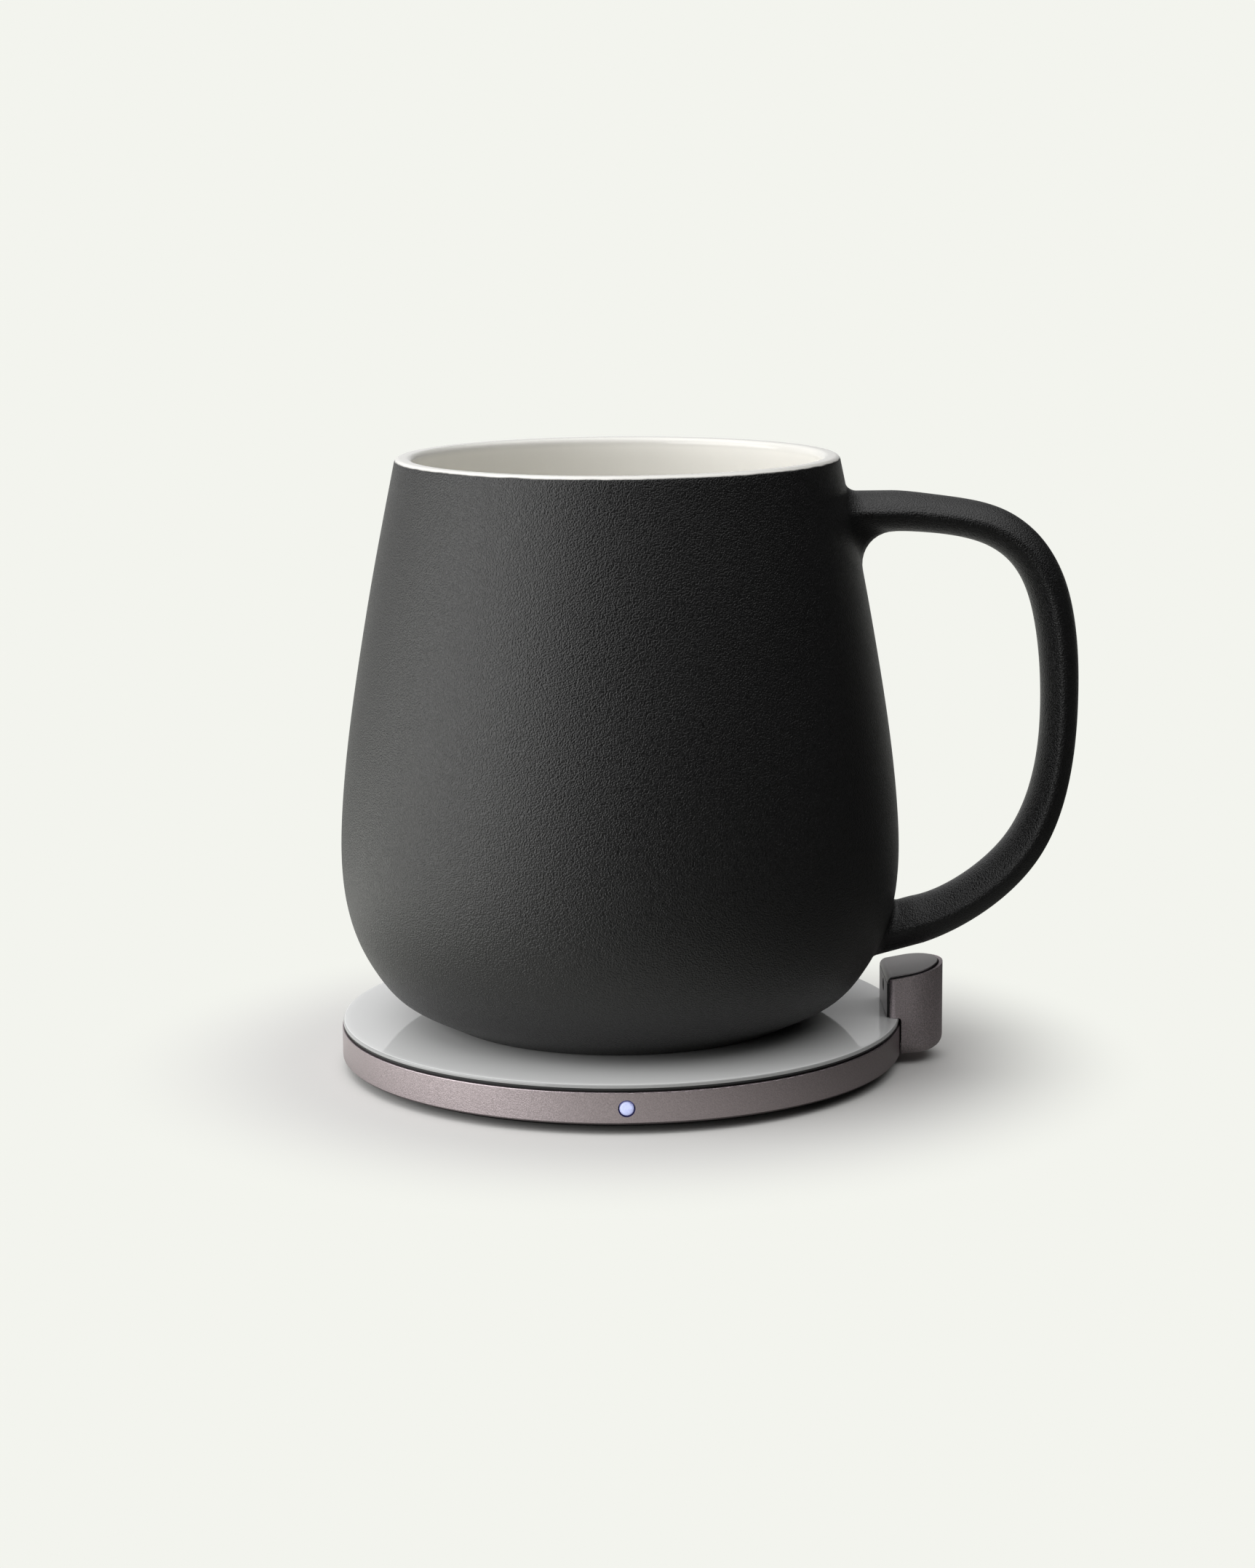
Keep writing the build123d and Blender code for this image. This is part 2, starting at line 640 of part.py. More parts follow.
def coil_carrier():
    """The cup that stands on the cover and holds ferrite and coil under the glass."""
    wall = ring(CARRIER_RADIUS, CARRIER_INNER_RADIUS, COVER_TOP, FILM_BOTTOM - LAYER_GAP)
    floor = disc(CARRIER_RADIUS, FERRITE_BOTTOM - CARRIER_FLOOR, FERRITE_BOTTOM)
    return wall + floor


def plate_thermistor():
    """The bead that feels the glass through the coil's film."""
    top = FILM_BOTTOM
    bottom = FERRITE_TOP + FOAM_HEIGHT
    return block(-THERMISTOR_LENGTH / 2, THERMISTOR_LENGTH / 2, THERMISTOR_WIDTH, bottom, top)


# Main board

def uncovered_wedge():
    """The wedge of the dock that the main board leaves free."""
    far = 2 * DOCK_RADIUS
    open_angle = BOARD_START_ANGLE + 360 - BOARD_END_ANGLE
    angles = [BOARD_END_ANGLE + open_angle * step / WEDGE_STEPS for step in range(WEDGE_STEPS + 1)]
    corners = [(far * cos(radians(angle)), far * sin(radians(angle))) for angle in angles]
    return Polygon((0, 0), *corners, align=None)


def main_board():
    """The crescent board around the coil's carrier."""
    shape = Circle(BOARD_RADIUS) - Circle(BOARD_INNER_RADIUS) - uncovered_wedge()
    board = Pos(0, 0, BOARD_BOTTOM) * extrude(shape, BOARD_THICKNESS)
    low = BOARD_BOTTOM - CUT_OVERRUN
    high = BOARD_TOP + CUT_OVERRUN
    for place in lug_places(0):
        board -= place * disc(LUG_RADIUS + BOARD_LUG_GAP, low, high)
    for place in board_screw_places(0):
        board -= place * disc(BOARD_SCREW_RADIUS + SCREW_GAP, low, high)
    notch_back = DOCK_RADIUS - USB_SETBACK - USB_LENGTH - DROP_IN_GAP
    notch = block(notch_back, DOCK_RADIUS, USB_WIDTH + 2 * DROP_IN_GAP, low, high)
    return board - Rot(0, 0, 90) * notch


def board_screws():
    """The screws that hold the main board to the cover."""
    size = (BOARD_SCREW_RADIUS, BOARD_SCREW_LENGTH, BOARD_SCREW_HEAD_RADIUS, BOARD_SCREW_HEAD_HEIGHT)
    return group([place * screw(*size) for place in board_screw_places(BOARD_TOP)])


def power_chips():
    """The control chips and the switching transistors of the sending coil."""
    chips = [on_board(angle, BOARD_MIDDLE, CHIP_SIZE, CHIP_SIZE, CHIP_HEIGHT) for angle in CHIP_ANGLES]
    for angle in SWITCH_ANGLES:
        for side in (-1, 1):
            radius = BOARD_MIDDLE + side * SWITCH_SPREAD / 2
            chips.append(on_board(angle, radius, SWITCH_SIZE, SWITCH_SIZE, CHIP_HEIGHT))
    return group(chips)


def power_inductor():
    """The square shielded inductor."""
    body = on_board(INDUCTOR_ANGLE, BOARD_MIDDLE, INDUCTOR_SIZE, INDUCTOR_SIZE, INDUCTOR_HEIGHT)
    return chamfer(body.edges().filter_by(Axis.Z), INDUCTOR_CORNER)


def filter_capacitors():
    """The capacitors that tune the sending coil."""
    size = (CAPACITOR_LENGTH, CAPACITOR_WIDTH, CAPACITOR_HEIGHT)
    return group([on_board(angle, BOARD_MIDDLE, *size) for angle in CAPACITOR_ANGLES])


def usb_shell():
    """The metal shell of the power socket."""
    front = DOCK_RADIUS - USB_SETBACK
    outer = usb_prism(0, front - USB_LENGTH, front)
    return outer - usb_prism(-USB_SHELL_WALL, front - USB_LENGTH - CUT_OVERRUN, front + CUT_OVERRUN)


def usb_tongue():
    """The moulded block and contact tongue inside the socket."""
    back = DOCK_RADIUS - USB_SETBACK - USB_LENGTH
    front = back + USB_BLOCK_LENGTH
    plug = usb_prism(-USB_SHELL_WALL - LAYER_GAP, back, front)
    low = RING_MIDDLE - USB_TONGUE_THICKNESS / 2
    tip = front + USB_TONGUE_LENGTH
    tongue = block(front, tip, USB_TONGUE_WIDTH, low, low + USB_TONGUE_THICKNESS)
    return plug + Rot(0, 0, 90) * tongue


def indicator_lens():
    """The light guide that fills the hole at the front of the ring."""
    inner = BOARD_RADIUS + DROP_IN_GAP
    outer = DOCK_RADIUS + LENS_PROUD
    guide = rod_along_x(LENS_RADIUS, inner, outer, 0, RING_MIDDLE)
    guide = fillet(guide.edges().sort_by(Axis.X)[-1], LENS_DOME)
    return Rot(0, 0, -90) * guide


def indicator_led():
    """The side firing lamp behind the light guide."""
    centre = BOARD_RADIUS - LED_DEPTH / 2
    return on_board(-90, centre, LED_DEPTH, LED_WIDTH, LED_HEIGHT)


# Sensor post

def post_outline(inset, front):
    """The post seen from above: straight sides from the front, then a half oval nose."""
    half_width = POST_HALF_WIDTH - inset
    length = SHOULDER_X - front
    sides = Pos(front + length / 2, 0) * Rectangle(length, 2 * half_width)
    behind = Pos(SHOULDER_X + POST_NOSE / 2, 0) * Rectangle(POST_NOSE, 2 * POST_HALF_WIDTH)
    nose = Pos(SHOULDER_X, 0) * Ellipse(POST_NOSE - inset, half_width) & behind
    return sides + nose


def post_prism(inset, front, bottom, top):
    """The post's outline drawn up between two heights."""
    return Pos(0, 0, bottom) * extrude(post_outline(inset, front), top - bottom)


def above_slope(drop):
    """All space above the post's inclined top, lowered by a drop."""
    size = 4 * DOCK_RADIUS
    space = Box(size, size, size, align=(Align.CENTER, Align.CENTER, Align.MIN))
    return Pos(FACE_FRONT, 0, POST_FRONT_TOP - drop) * Rot(0, -POST_TOP_SLOPE, 0) * space


def post_height_limit():
    """A height that is safely above the inclined top."""
    return POST_FRONT_TOP + (POST_SHOULDER + POST_NOSE) * tan(radians(POST_TOP_SLOPE)) + CUT_OVERRUN


def dock_clearance():
    """The space of ring and glass that the post's pieces keep clear of."""
    return disc(DOCK_RADIUS + POST_RING_GAP, -CUT_OVERRUN, GLASS_TOP + LAYER_GAP)


def post_sleeve():
    """The metal sleeve, open at its front and top, with a rounded closed bottom."""
    top = post_height_limit()
    outer = post_prism(0, SLEEVE_FRONT, POST_BOTTOM, top)
    upright = outer.edges().filter_by(Axis.Z).group_by(Axis.X)[0]
    outer = fillet(upright, POST_CORNER_RADIUS)
    outer = fillet(edges_at(outer, POST_BOTTOM), POST_BOTTOM_RADIUS)
    outer -= above_slope(STRIP_TOP_PROUD)
    outer = chamfer(outer.faces().sort_by(Axis.Z)[-1].edges(), POST_RIM_BREAK)
    inner_front = SLEEVE_FRONT - CUT_OVERRUN
    inner = post_prism(POST_WALL, inner_front, FRAME_BOTTOM, top + CUT_OVERRUN)
    return outer - inner - dock_clearance()


def post_frame():
    """The moulded frame inside the sleeve that carries sensor, cap and face."""
    top = post_height_limit()
    body = post_prism(FRAME_INSET, FACE_BACK, FRAME_BOTTOM, top) - dock_clearance()
    pocket_front = FACE_BACK + FRAME_FRONT_WALL
    pocket = post_prism(FRAME_INSET + FRAME_WALL, pocket_front, BLOCK_TOP, top + CUT_OVERRUN)
    body -= pocket
    body -= above_slope(CAP_THICKNESS)
    body -= rod_along_x(SENSOR_CAN_RADIUS + DROP_IN_GAP, FACE_FRONT, CAN_BACK, 0, SENSOR_HEIGHT)
    channel_width = CABLE_WIDTH + 2 * CABLE_ROOM
    channel_bottom = CABLE_HEIGHT - CABLE_THICKNESS / 2 - CABLE_ROOM
    channel_back = CAN_BACK + CABLE_THICKNESS + CABLE_ROOM
    body -= block(pocket_front, channel_back, channel_width, channel_bottom, BLOCK_TOP + CUT_OVERRUN)
    for side in (-1, 1):
        pilot_end = DOCK_RADIUS + POST_SCREW_REACH + LAYER_GAP
        body -= rod_along_x(POST_SCREW_RADIUS + LAYER_GAP, RING_INNER_RADIUS, pilot_end,
                            side * POST_SCREW_SPREAD, RING_MIDDLE)
    return body


def post_screws():
    """The screws that reach from inside the ring into the post's frame."""
    screws = []
    seat = sqrt(RING_INNER_RADIUS**2 - (POST_SCREW_SPREAD + POST_SCREW_HEAD_RADIUS) ** 2) - LAYER_GAP
    length = DOCK_RADIUS + POST_SCREW_REACH - seat
    for side in (-1, 1):
        body = screw(POST_SCREW_RADIUS, length, POST_SCREW_HEAD_RADIUS, POST_SCREW_HEAD_HEIGHT)
        screws.append(Pos(seat, side * POST_SCREW_SPREAD, RING_MIDDLE) * Rot(0, -90, 0) * body)
    return group(screws)


def post_cap():
    """The inclined top of the post, turned down over its front edge."""
    seam = POST_FRONT_TOP - CAP_LIP
    plate = post_prism(STRIP_INSET, FACE_FRONT, seam, post_height_limit())
    plate -= above_slope(0)
    front_edge = plate.edges().filter_by(Axis.Y).sort_by(Axis.Z)[-1]
    plate = fillet(front_edge, CAP_FRONT_RADIUS)
    under = post_prism(STRIP_INSET - CUT_OVERRUN, FACE_BACK, seam - CUT_OVERRUN, post_height_limit())
    return plate - (under - above_slope(CAP_THICKNESS))


def post_face():
    """The flat front of the post with the sensor's hole."""
    top = POST_FRONT_TOP - CAP_LIP - SEAM_GAP
    face = block(FACE_FRONT, FACE_BACK, 2 * STRIP_HALF_WIDTH, GLASS_TOP + LAYER_GAP, top)
    upright = face.edges().filter_by(Axis.Z).group_by(Axis.X)[0]
    face = fillet(upright, CAP_EDGE_RADIUS)
    return face - rod_along_x(SENSOR_HOLE_RADIUS, FACE_FRONT - CUT_OVERRUN, CAN_FRONT, 0, SENSOR_HEIGHT)


def sensor_window():
    """The dark filter window behind the hole in the face."""
    radius = SENSOR_HOLE_RADIUS - LAYER_GAP
    return rod_along_x(radius, FACE_BACK - SENSOR_WINDOW_THICKNESS, FACE_BACK, 0, SENSOR_HEIGHT)


def sensor_board():
    """The upright board that carries the temperature sensor."""
    bottom = BLOCK_TOP + LAYER_GAP
    return block(CAN_BACK, CAN_BACK + SENSOR_BOARD_THICKNESS, SENSOR_BOARD_WIDTH, bottom,
                 bottom + SENSOR_BOARD_HEIGHT)


def sensor_cable():
    """The flat cable from the sensor board down through the ring to the main board."""
    upright_x = CAN_BACK - CABLE_THICKNESS / 2
    start = (CONNECTOR_PLACE + CONNECTOR_LENGTH / 2, 0, CABLE_HEIGHT)
    corner = (upright_x, 0, CABLE_HEIGHT)
    end = (upright_x, 0, BLOCK_TOP + CABLE_RISE)
    path = FilletPolyline(start, corner, end, radius=CABLE_BEND)
    facing = Plane(origin=start, x_dir=(0, 1, 0), z_dir=(1, 0, 0))
    return sweep(facing * Rectangle(CABLE_WIDTH, CABLE_THICKNESS), path=path)


def all_parts():
    """Every piece of the mug and the dock under its node's name."""
    outline = mug_outline()
    send = (SEND_INNER_RADIUS, SEND_PITCH, SEND_TURNS)
    take = (TAKE_INNER_RADIUS, TAKE_PITCH, TAKE_TURNS)
    print("least gap in the sending coil:", round(least_gap(*send, SEND_WIRE), 3))
    print("least gap in the receiving coil:", round(least_gap(*take, TAKE_WIRE), 3))
    take_ferrite_radius = TAKE_OUTER_RADIUS + FERRITE_MARGIN
    receiver_radius = RECESS_RADIUS - RECEIVER_BOARD_MARGIN
    connector = (CONNECTOR_LENGTH, CONNECTOR_WIDTH, CONNECTOR_HEIGHT)
    return {
        "mug_body": mug_body(outline),
        "mug_handle": mug_handle(outline),
        "heater_film": disc(RECESS_RADIUS - DROP_IN_GAP, FILM_UNDERSIDE, RECESS_TOP),
        "insulation_pad": insulation_pad(),
        "thermal_cutout": disc(CUTOUT_RADIUS, RECEIVER_BOARD_TOP, FILM_UNDERSIDE),
        "receiver_chips": receiver_chips(),
        "receiver_board": disc(receiver_radius, RECEIVER_BOARD_BOTTOM, RECEIVER_BOARD_TOP),
        "receiver_ferrite": disc(take_ferrite_radius, TAKE_FERRITE_BOTTOM, TAKE_FERRITE_TOP),
        "receiver_coil": coil(*take, TAKE_HEIGHT, TAKE_WIRE),
        "base_seal": base_seal(),
        "base_plate": base_plate(),
        "glass_plate": glass_plate(),
        "glass_gasket": glass_gasket(),
        "dock_ring": dock_ring(),
        "bottom_cover": bottom_cover(),
        "foot_pad": foot_pad(),
        "cover_screws": cover_screws(),
        "coil_film": disc(FERRITE_RADIUS, FILM_BOTTOM, GLASS_BOTTOM),
        "sending_coil": coil(*send, SEND_HEIGHT, SEND_WIRE),
        "coil_ferrite": disc(FERRITE_RADIUS, FERRITE_BOTTOM, FERRITE_TOP),
        "coil_carrier": coil_carrier(),
        "foam_post": disc(FOAM_RADIUS, FERRITE_TOP, FERRITE_TOP + FOAM_HEIGHT),
        "plate_thermistor": plate_thermistor(),
        "main_board": main_board(),
        "board_screws": board_screws(),
        "power_chips": power_chips(),
        "power_inductor": power_inductor(),
        "filter_capacitors": filter_capacitors(),
        "sensor_connector": on_board(0, CONNECTOR_PLACE, *connector),
        "usb_shell": usb_shell(),
        "usb_tongue": usb_tongue(),
        "indicator_lens": indicator_lens(),
        "indicator_led": indicator_led(),
        "post_sleeve": post_sleeve(),
        "post_frame": post_frame(),
        "post_screws": post_screws(),
        "post_cap": post_cap(),
        "post_face": post_face(),
        "sensor_window": sensor_window(),
        "sensor_can": rod_along_x(SENSOR_CAN_RADIUS, CAN_FRONT, CAN_BACK, 0, SENSOR_HEIGHT),
        "sensor_board": sensor_board(),
        "sensor_cable": sensor_cable(),
    }


os.makedirs("parts", exist_ok=True)
for name, shape in all_parts().items():
    export_step(shape, f"parts/{name}.step")
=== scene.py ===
import math

import bmesh
import bpy
import numpy as np
from mathutils import Matrix, Vector


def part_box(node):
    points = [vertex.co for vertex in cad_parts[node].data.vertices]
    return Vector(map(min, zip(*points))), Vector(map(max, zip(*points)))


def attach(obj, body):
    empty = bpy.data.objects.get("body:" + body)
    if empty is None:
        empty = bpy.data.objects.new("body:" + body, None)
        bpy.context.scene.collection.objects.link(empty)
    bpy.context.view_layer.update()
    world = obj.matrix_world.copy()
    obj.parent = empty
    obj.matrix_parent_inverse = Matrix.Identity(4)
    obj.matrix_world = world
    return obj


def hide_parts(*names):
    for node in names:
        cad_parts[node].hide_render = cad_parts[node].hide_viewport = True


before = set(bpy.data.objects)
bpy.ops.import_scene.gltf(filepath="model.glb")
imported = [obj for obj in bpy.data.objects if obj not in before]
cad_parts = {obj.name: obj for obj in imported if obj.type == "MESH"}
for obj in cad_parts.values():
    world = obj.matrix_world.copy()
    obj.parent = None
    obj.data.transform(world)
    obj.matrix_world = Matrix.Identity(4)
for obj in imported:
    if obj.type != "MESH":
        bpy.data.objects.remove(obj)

# Self heating mug on its round dock with a sensor post. Metres, +Z up, +X towards the handle.

bl_info = {
    "name": "Self Heating Mug",
    "version": (1, 0, 0),
    "blender": (4, 5, 0),
    "location": "3D View > Sidebar > Mug",
    "description": "Dresses the packed mug and dock with smooth pieces and finishes",
    "category": "Object",
}

MM = 0.001
NEAR = 0.005 * MM
MERGE = 0.001 * MM
CUT_OVERRUN = 3 * MM
PHOTO_HEIGHT = 2156

# Steps of a full turn
TURN_STEPS = 192
GLASS_STEPS = 256
BORE_STEPS = 360
SMALL_STEPS = 48
NOSE_STEPS = 96

# Side line of the mug as shares of its height and of its widest radius
SIDE_SHARES = (
    (0.0, 0.632), (0.02, 0.7125), (0.05, 0.8174), (0.09, 0.8853), (0.14, 0.9416),
    (0.2, 0.9806), (0.28, 1.0), (0.38, 0.9943), (0.5, 0.9687), (0.65, 0.9218),
    (0.8, 0.8668), (0.995, 0.7856), (1.06, 0.7585),
)
SIDE_POINTS = 240
# What a rounding takes up of the lines beside it, as a share of its radius
FLOOR_ROOM = 1.15
INNER_LIP_ROOM = 1.2
OUTER_LIP_ROOM = 1.4
# Painted shade: how much darker the white glaze is drawn on and by the lip
LIP_PAINTED_SHADE = 0.8

# Centre line of the handle: reach from the wall, height, thickness, width, as shares
HANDLE_SHARES = (
    (-0.06, 0.8905, 1.1, 1.06), (0.105, 0.8962, 1.09, 1.05), (0.23, 0.8983, 1.07, 1.03),
    (0.435, 0.894, 1.01, 1.0), (0.625, 0.8855, 1.0, 1.0), (0.8, 0.8685, 1.03, 1.0),
    (0.943, 0.832, 1.03, 1.0), (1.026, 0.773, 1.04, 1.0), (1.047, 0.7065, 1.04, 1.0),
    (1.008, 0.5665, 0.99, 1.0), (0.911, 0.4256, 0.98, 1.0), (0.72, 0.2927, 1.07, 1.0),
    (0.5757, 0.2396, 1.12, 1.0), (0.4095, 0.197, 1.16, 1.0), (0.228, 0.1673, 1.24, 1.0),
    (0.073, 0.155, 1.37, 1.03), (-0.1, 0.147, 1.5, 1.08),
)
GRIP_POINTS = 56
GRIP_STATIONS = 260
# Where the roots start, as a free gap to the wall, and their fillets above, below and beside
UPPER_GAP = 6.3 * MM
UPPER_FILLET = (1.6 * MM, 7.4 * MM, 3.4 * MM)
LOWER_GAP = 3.4 * MM
LOWER_FILLET = (1.3 * MM, 1.2 * MM, 2.4 * MM)
FILLET_STEPS = 10
FILLET_PULL = 0.56
ROOT_SINK = 0.8 * MM
FILLET_SINK = 0.01 * MM

# Bands beside the glass's edges that keep its flat faces evenly shaded
LOWER_BAND = 0.5 * MM
UPPER_BAND = 1.5 * MM
# Broken edges of glass and cap, of the front strip and of the seal
FINE_BREAK = 0.12 * MM
THIN_BREAK = 0.08 * MM
SOFT_BREAK = 0.05 * MM
# Gap between the glass and the parts of the post over it
POST_GAP = 0.05 * MM
# Edges over this angle in degrees stay crisp on a softened piece
CRISP = 20.0

# Contacts of the power socket: number in a row, pitch, size, height and depth in the socket
CONTACTS = 12
CONTACT_PITCH = 0.5 * MM
CONTACT_SIZE = (0.26 * MM, 3.2 * MM, 0.06 * MM)
CONTACT_HEIGHT = 0.35 * MM
CONTACT_DEPTH = 2 * MM
CONTACT_BREAK = 0.015 * MM


# Properties that a user would change

def amount(title, text, default, precision=3, **kind):
    """A plain number, or one of a kind with a unit or a subtype."""
    return bpy.props.FloatProperty(name=title, description=text, default=default,
                                   precision=precision, **kind)


def length(title, text, millimetres):
    """A size, given here in millimetres."""
    return amount(title, text, millimetres * MM, 5, unit="LENGTH")


def angle(title, text, degrees):
    """An angle, given here in degrees."""
    return amount(title, text, math.radians(degrees), 2, subtype="ANGLE")


def paint_colour(title, text, default):
    """A linear colour."""
    return bpy.props.FloatVectorProperty(name=title, description=text, default=default,
                                         subtype="COLOR", size=3, min=0.0, max=1.0)


class MugSizes(bpy.types.PropertyGroup):
    """Sizes of the mug"""
    height: length("Height", "From the foot to the lip", 99.8)
    radius: length("Radius", "Widest outer radius", 49.45)
    wall: length("Wall", "Thickness of the side wall", 3.3)
    floor: length("Floor", "Height of the drink's floor above the foot", 11)
    floor_corner: length("Floor Corner", "Rounding between floor and wall", 8)
    lip_outer: length("Outer Lip", "Rounding of the lip's outer edge", 0.8)
    lip_inner: length("Inner Lip", "Rounding of the lip's inner edge", 1.3)
    glaze_line: length("Glaze Line", "Height above the foot where the black ends", 99.38)
    foot_edge: length("Foot Edge", "Rounding of the foot's outer edge", 0.6)
    plate_radius: length("Plate Radius", "Radius of the step for the base plate", 26.0024)
    plate_depth: length("Plate Depth", "Depth of the step for the base plate", 2)
    recess_radius: length("Recess Radius", "Radius of the heater's recess", 24.0024)
    recess_depth: length("Recess Depth", "Depth of the heater's recess", 7.5)
    reach: length("Handle Reach", "How far the handle stands out from the wall", 30.8)
    grip_thickness: length("Grip Thickness", "Thickness of the handle's grip", 6.7)
    grip_width: length("Grip Width", "Width of the handle's grip", 13)
    grip_edge: length("Grip Edge", "Rounding of the grip's side ridges", 1.1)


class DockSizes(bpy.types.PropertyGroup):
    """Sizes of the dock and its post"""
    glass_radius: length("Glass Radius", "Radius of the glass", 49.8)
    glass_bottom: length("Glass Bottom", "Height of the glass's underside", 7.6)
    glass_top: length("Glass Top", "Height of the glass's top face", 8.6)
    glass_edge: length("Glass Edge", "Rounding of the glass's upper edge", 0.35)
    gasket_radius: length("Seal Radius", "Outer radius of the seal under the glass", 49.4)
    gasket_width: length("Seal Width", "Width of the seal", 2.2)
    gasket_thickness: length("Seal Thickness", "Thickness of the seal", 0.3)
    lens_radius: length("Light Radius", "Radius of the indicator's light guide", 1.25)
    lens_dome: length("Light Dome", "Rounding of the light guide's face", 0.4)
    clearance_radius: length("Clearance", "Radius that the sleeve keeps clear of", 50.3)
    sleeve_front: length("Sleeve Front", "Place of the sleeve's front edges", 47.4)
    shoulder: length("Shoulder", "Place where the post's straight sides end", 51)
    half_width: length("Half Width", "Half the post's width", 8.25)
    nose: length("Nose", "Length of the post's half oval end", 6.7)
    sleeve_wall: length("Sleeve Wall", "Thickness of the sleeve", 0.65)
    sleeve_bottom: length("Sleeve Bottom", "Height of the sleeve's underside", 1.8)
    sleeve_floor: length("Sleeve Floor", "Thickness of the sleeve's bottom", 1.4)
    sleeve_round: length("Sleeve Rounding", "Rounding round the sleeve's bottom", 2.2)
    front_round: length("Front Rounding", "Rounding of the sleeve's upright corners", 1.2)
    sleeve_corner: length("Sleeve Corner", "Rounding where the rim turns down", 0.9)
    overhang_round: length("Overhang", "Rounding where the sleeve meets the ring", 0.6)
    rim_break: length("Rim Break", "Bevel along the sleeve's rim", 0.16)
    top_slope: angle("Top Slope", "How much the post's top rises outwards", 10.3)
    top_height: length("Top Height", "Height of the post's top at its front", 15.85)
    rim_drop: length("Rim Drop", "How much the sleeve's rim lies below the cap", 0.4)
    strip_inset: length("Strip Inset", "Distance from the post's side to the cap", 0.9)
    strip_front: length("Strip Front", "Place of the front strip's face", 47.1)
    strip_thickness: length("Strip Thickness", "Thickness of the front strip", 0.6)
    cap_front: length("Cap Front", "Rounding of the cap's front edge", 1.1)
    cap_lip: length("Cap Lip", "How far the cap turns down", 1.05)
    seam: length("Seam", "Gap between cap and front strip", 0.06)
    hole_radius: length("Hole Radius", "Radius of the sensor's hole", 1.15)
    hole_height: length("Hole Height", "Height of the sensor's hole", 12.9)
    socket_middle: length("Socket Middle", "Height of the power socket's middle", 4.55)


class Finishes(bpy.types.PropertyGroup):
    """Colours of the finishes"""
    black: paint_colour("Black Glaze", "Matt glaze outside", (0.0052, 0.0052, 0.0054))
    white: paint_colour("White Glaze", "Glossy glaze inside", (0.955, 0.94, 0.89))
    glass: paint_colour("Glass", "White print behind the glass", (0.765, 0.77, 0.765))
    ring: paint_colour("Ring", "Anodised ring", (0.445, 0.383, 0.401))
    # Painted light: the sleeve's colour is a lighter copy of the ring's anodised colour, making up
    # for the mug's shade on it
    post: paint_colour("Post", "Anodised post sleeve", (0.59, 0.52, 0.543))
    strip: paint_colour("Strip", "Cap and front strip of the post", (0.33, 0.315, 0.315))
    light: paint_colour("Light", "Glow of the indicator", (0.45, 0.52, 1.0))


class Studio(bpy.types.PropertyGroup):
    """Camera, lights and background"""
    background: paint_colour("Background", "Pale background", (0.896, 0.905, 0.855))
    focal: amount("Focal Length", "Camera focal length in pixels of the photo's frame", 4762.5)
    camera_place: bpy.props.FloatVectorProperty(
        name="Camera Place", description="Where the camera stands", size=3,
        subtype="TRANSLATION", unit="LENGTH", default=(-0.009164, -0.604652, 0.16362))
    tilt: angle("Tilt", "How far the camera looks down", 10.641)
    pan: angle("Pan", "How far the camera turns to the left", -1.0)
    roll: angle("Roll", "How far the camera leans", -0.419)
    # Painted shade: the floor by the dock is drawn darker than the background, a halo round the
    # dock
    floor: paint_colour("Floor", "Pale floor near the dock", (0.66, 0.655, 0.64))
    light: paint_colour("Light", "Colour of the room's light", (0.9, 0.9, 0.9))
    box_place: bpy.props.FloatVectorProperty(
        name="Soft Box Place", description="Middle of the soft box at the left", size=3,
        subtype="TRANSLATION", unit="LENGTH", default=(-0.93, -0.37, 0.32))
    box_width: length("Soft Box Width", "Width of the soft box", 1500)
    box_height: length("Soft Box Height", "Height of the soft box", 1000)
    box_glow: amount("Soft Box", "Brightness of the soft box", 3.2)
    back: amount("Back", "Brightness of the lit backdrop", 0.75)
    top: amount("Top", "Brightness of the lit ceiling", 1.65)
    key: amount("Key", "Brightness of the light at the upper left", 1.1)
    front: amount("Front", "Brightness of the light at the upper front", 0.12)
    # Painted light: the floor's glow that mirrors see, bright at the left, dim at the right and
    # dark under the dock
    left_floor: amount("Left Floor", "Brightness of the lit floor at the left, mirrored", 2.5)
    near_floor: amount("Near Floor", "Brightness of the floor by the dock, mirrored", 0.85)
    fill: amount("Fill", "Brightness of the room all round", 0.01)


def sizes():
    """The property groups of the current scene."""
    scene = bpy.context.scene
    return scene.mug_sizes, scene.dock_sizes, scene.mug_finishes, scene.mug_studio


# Shader writing

def maths(operation, reflected=False):
    """A method that adds a Math node for one of Python's operators."""
    def method(self, other):
        values = (other, self) if reflected else (self, other)
        return self.paint.math(operation, *values)

    return method


class Value:
    """An output of a shader tree that Python's operators turn into Math nodes."""

    def __init__(self, paint, socket):
        self.paint = paint
        self.socket = socket

    __add__ = __radd__ = maths("ADD")
    __sub__ = maths("SUBTRACT")
    __rsub__ = maths("SUBTRACT", reflected=True)
    __mul__ = __rmul__ = maths("MULTIPLY")
    __truediv__ = maths("DIVIDE")
    __rtruediv__ = maths("DIVIDE", reflected=True)
    __pow__ = maths("POWER")
    __rpow__ = maths("POWER", reflected=True)
    at_most = maths("MINIMUM")


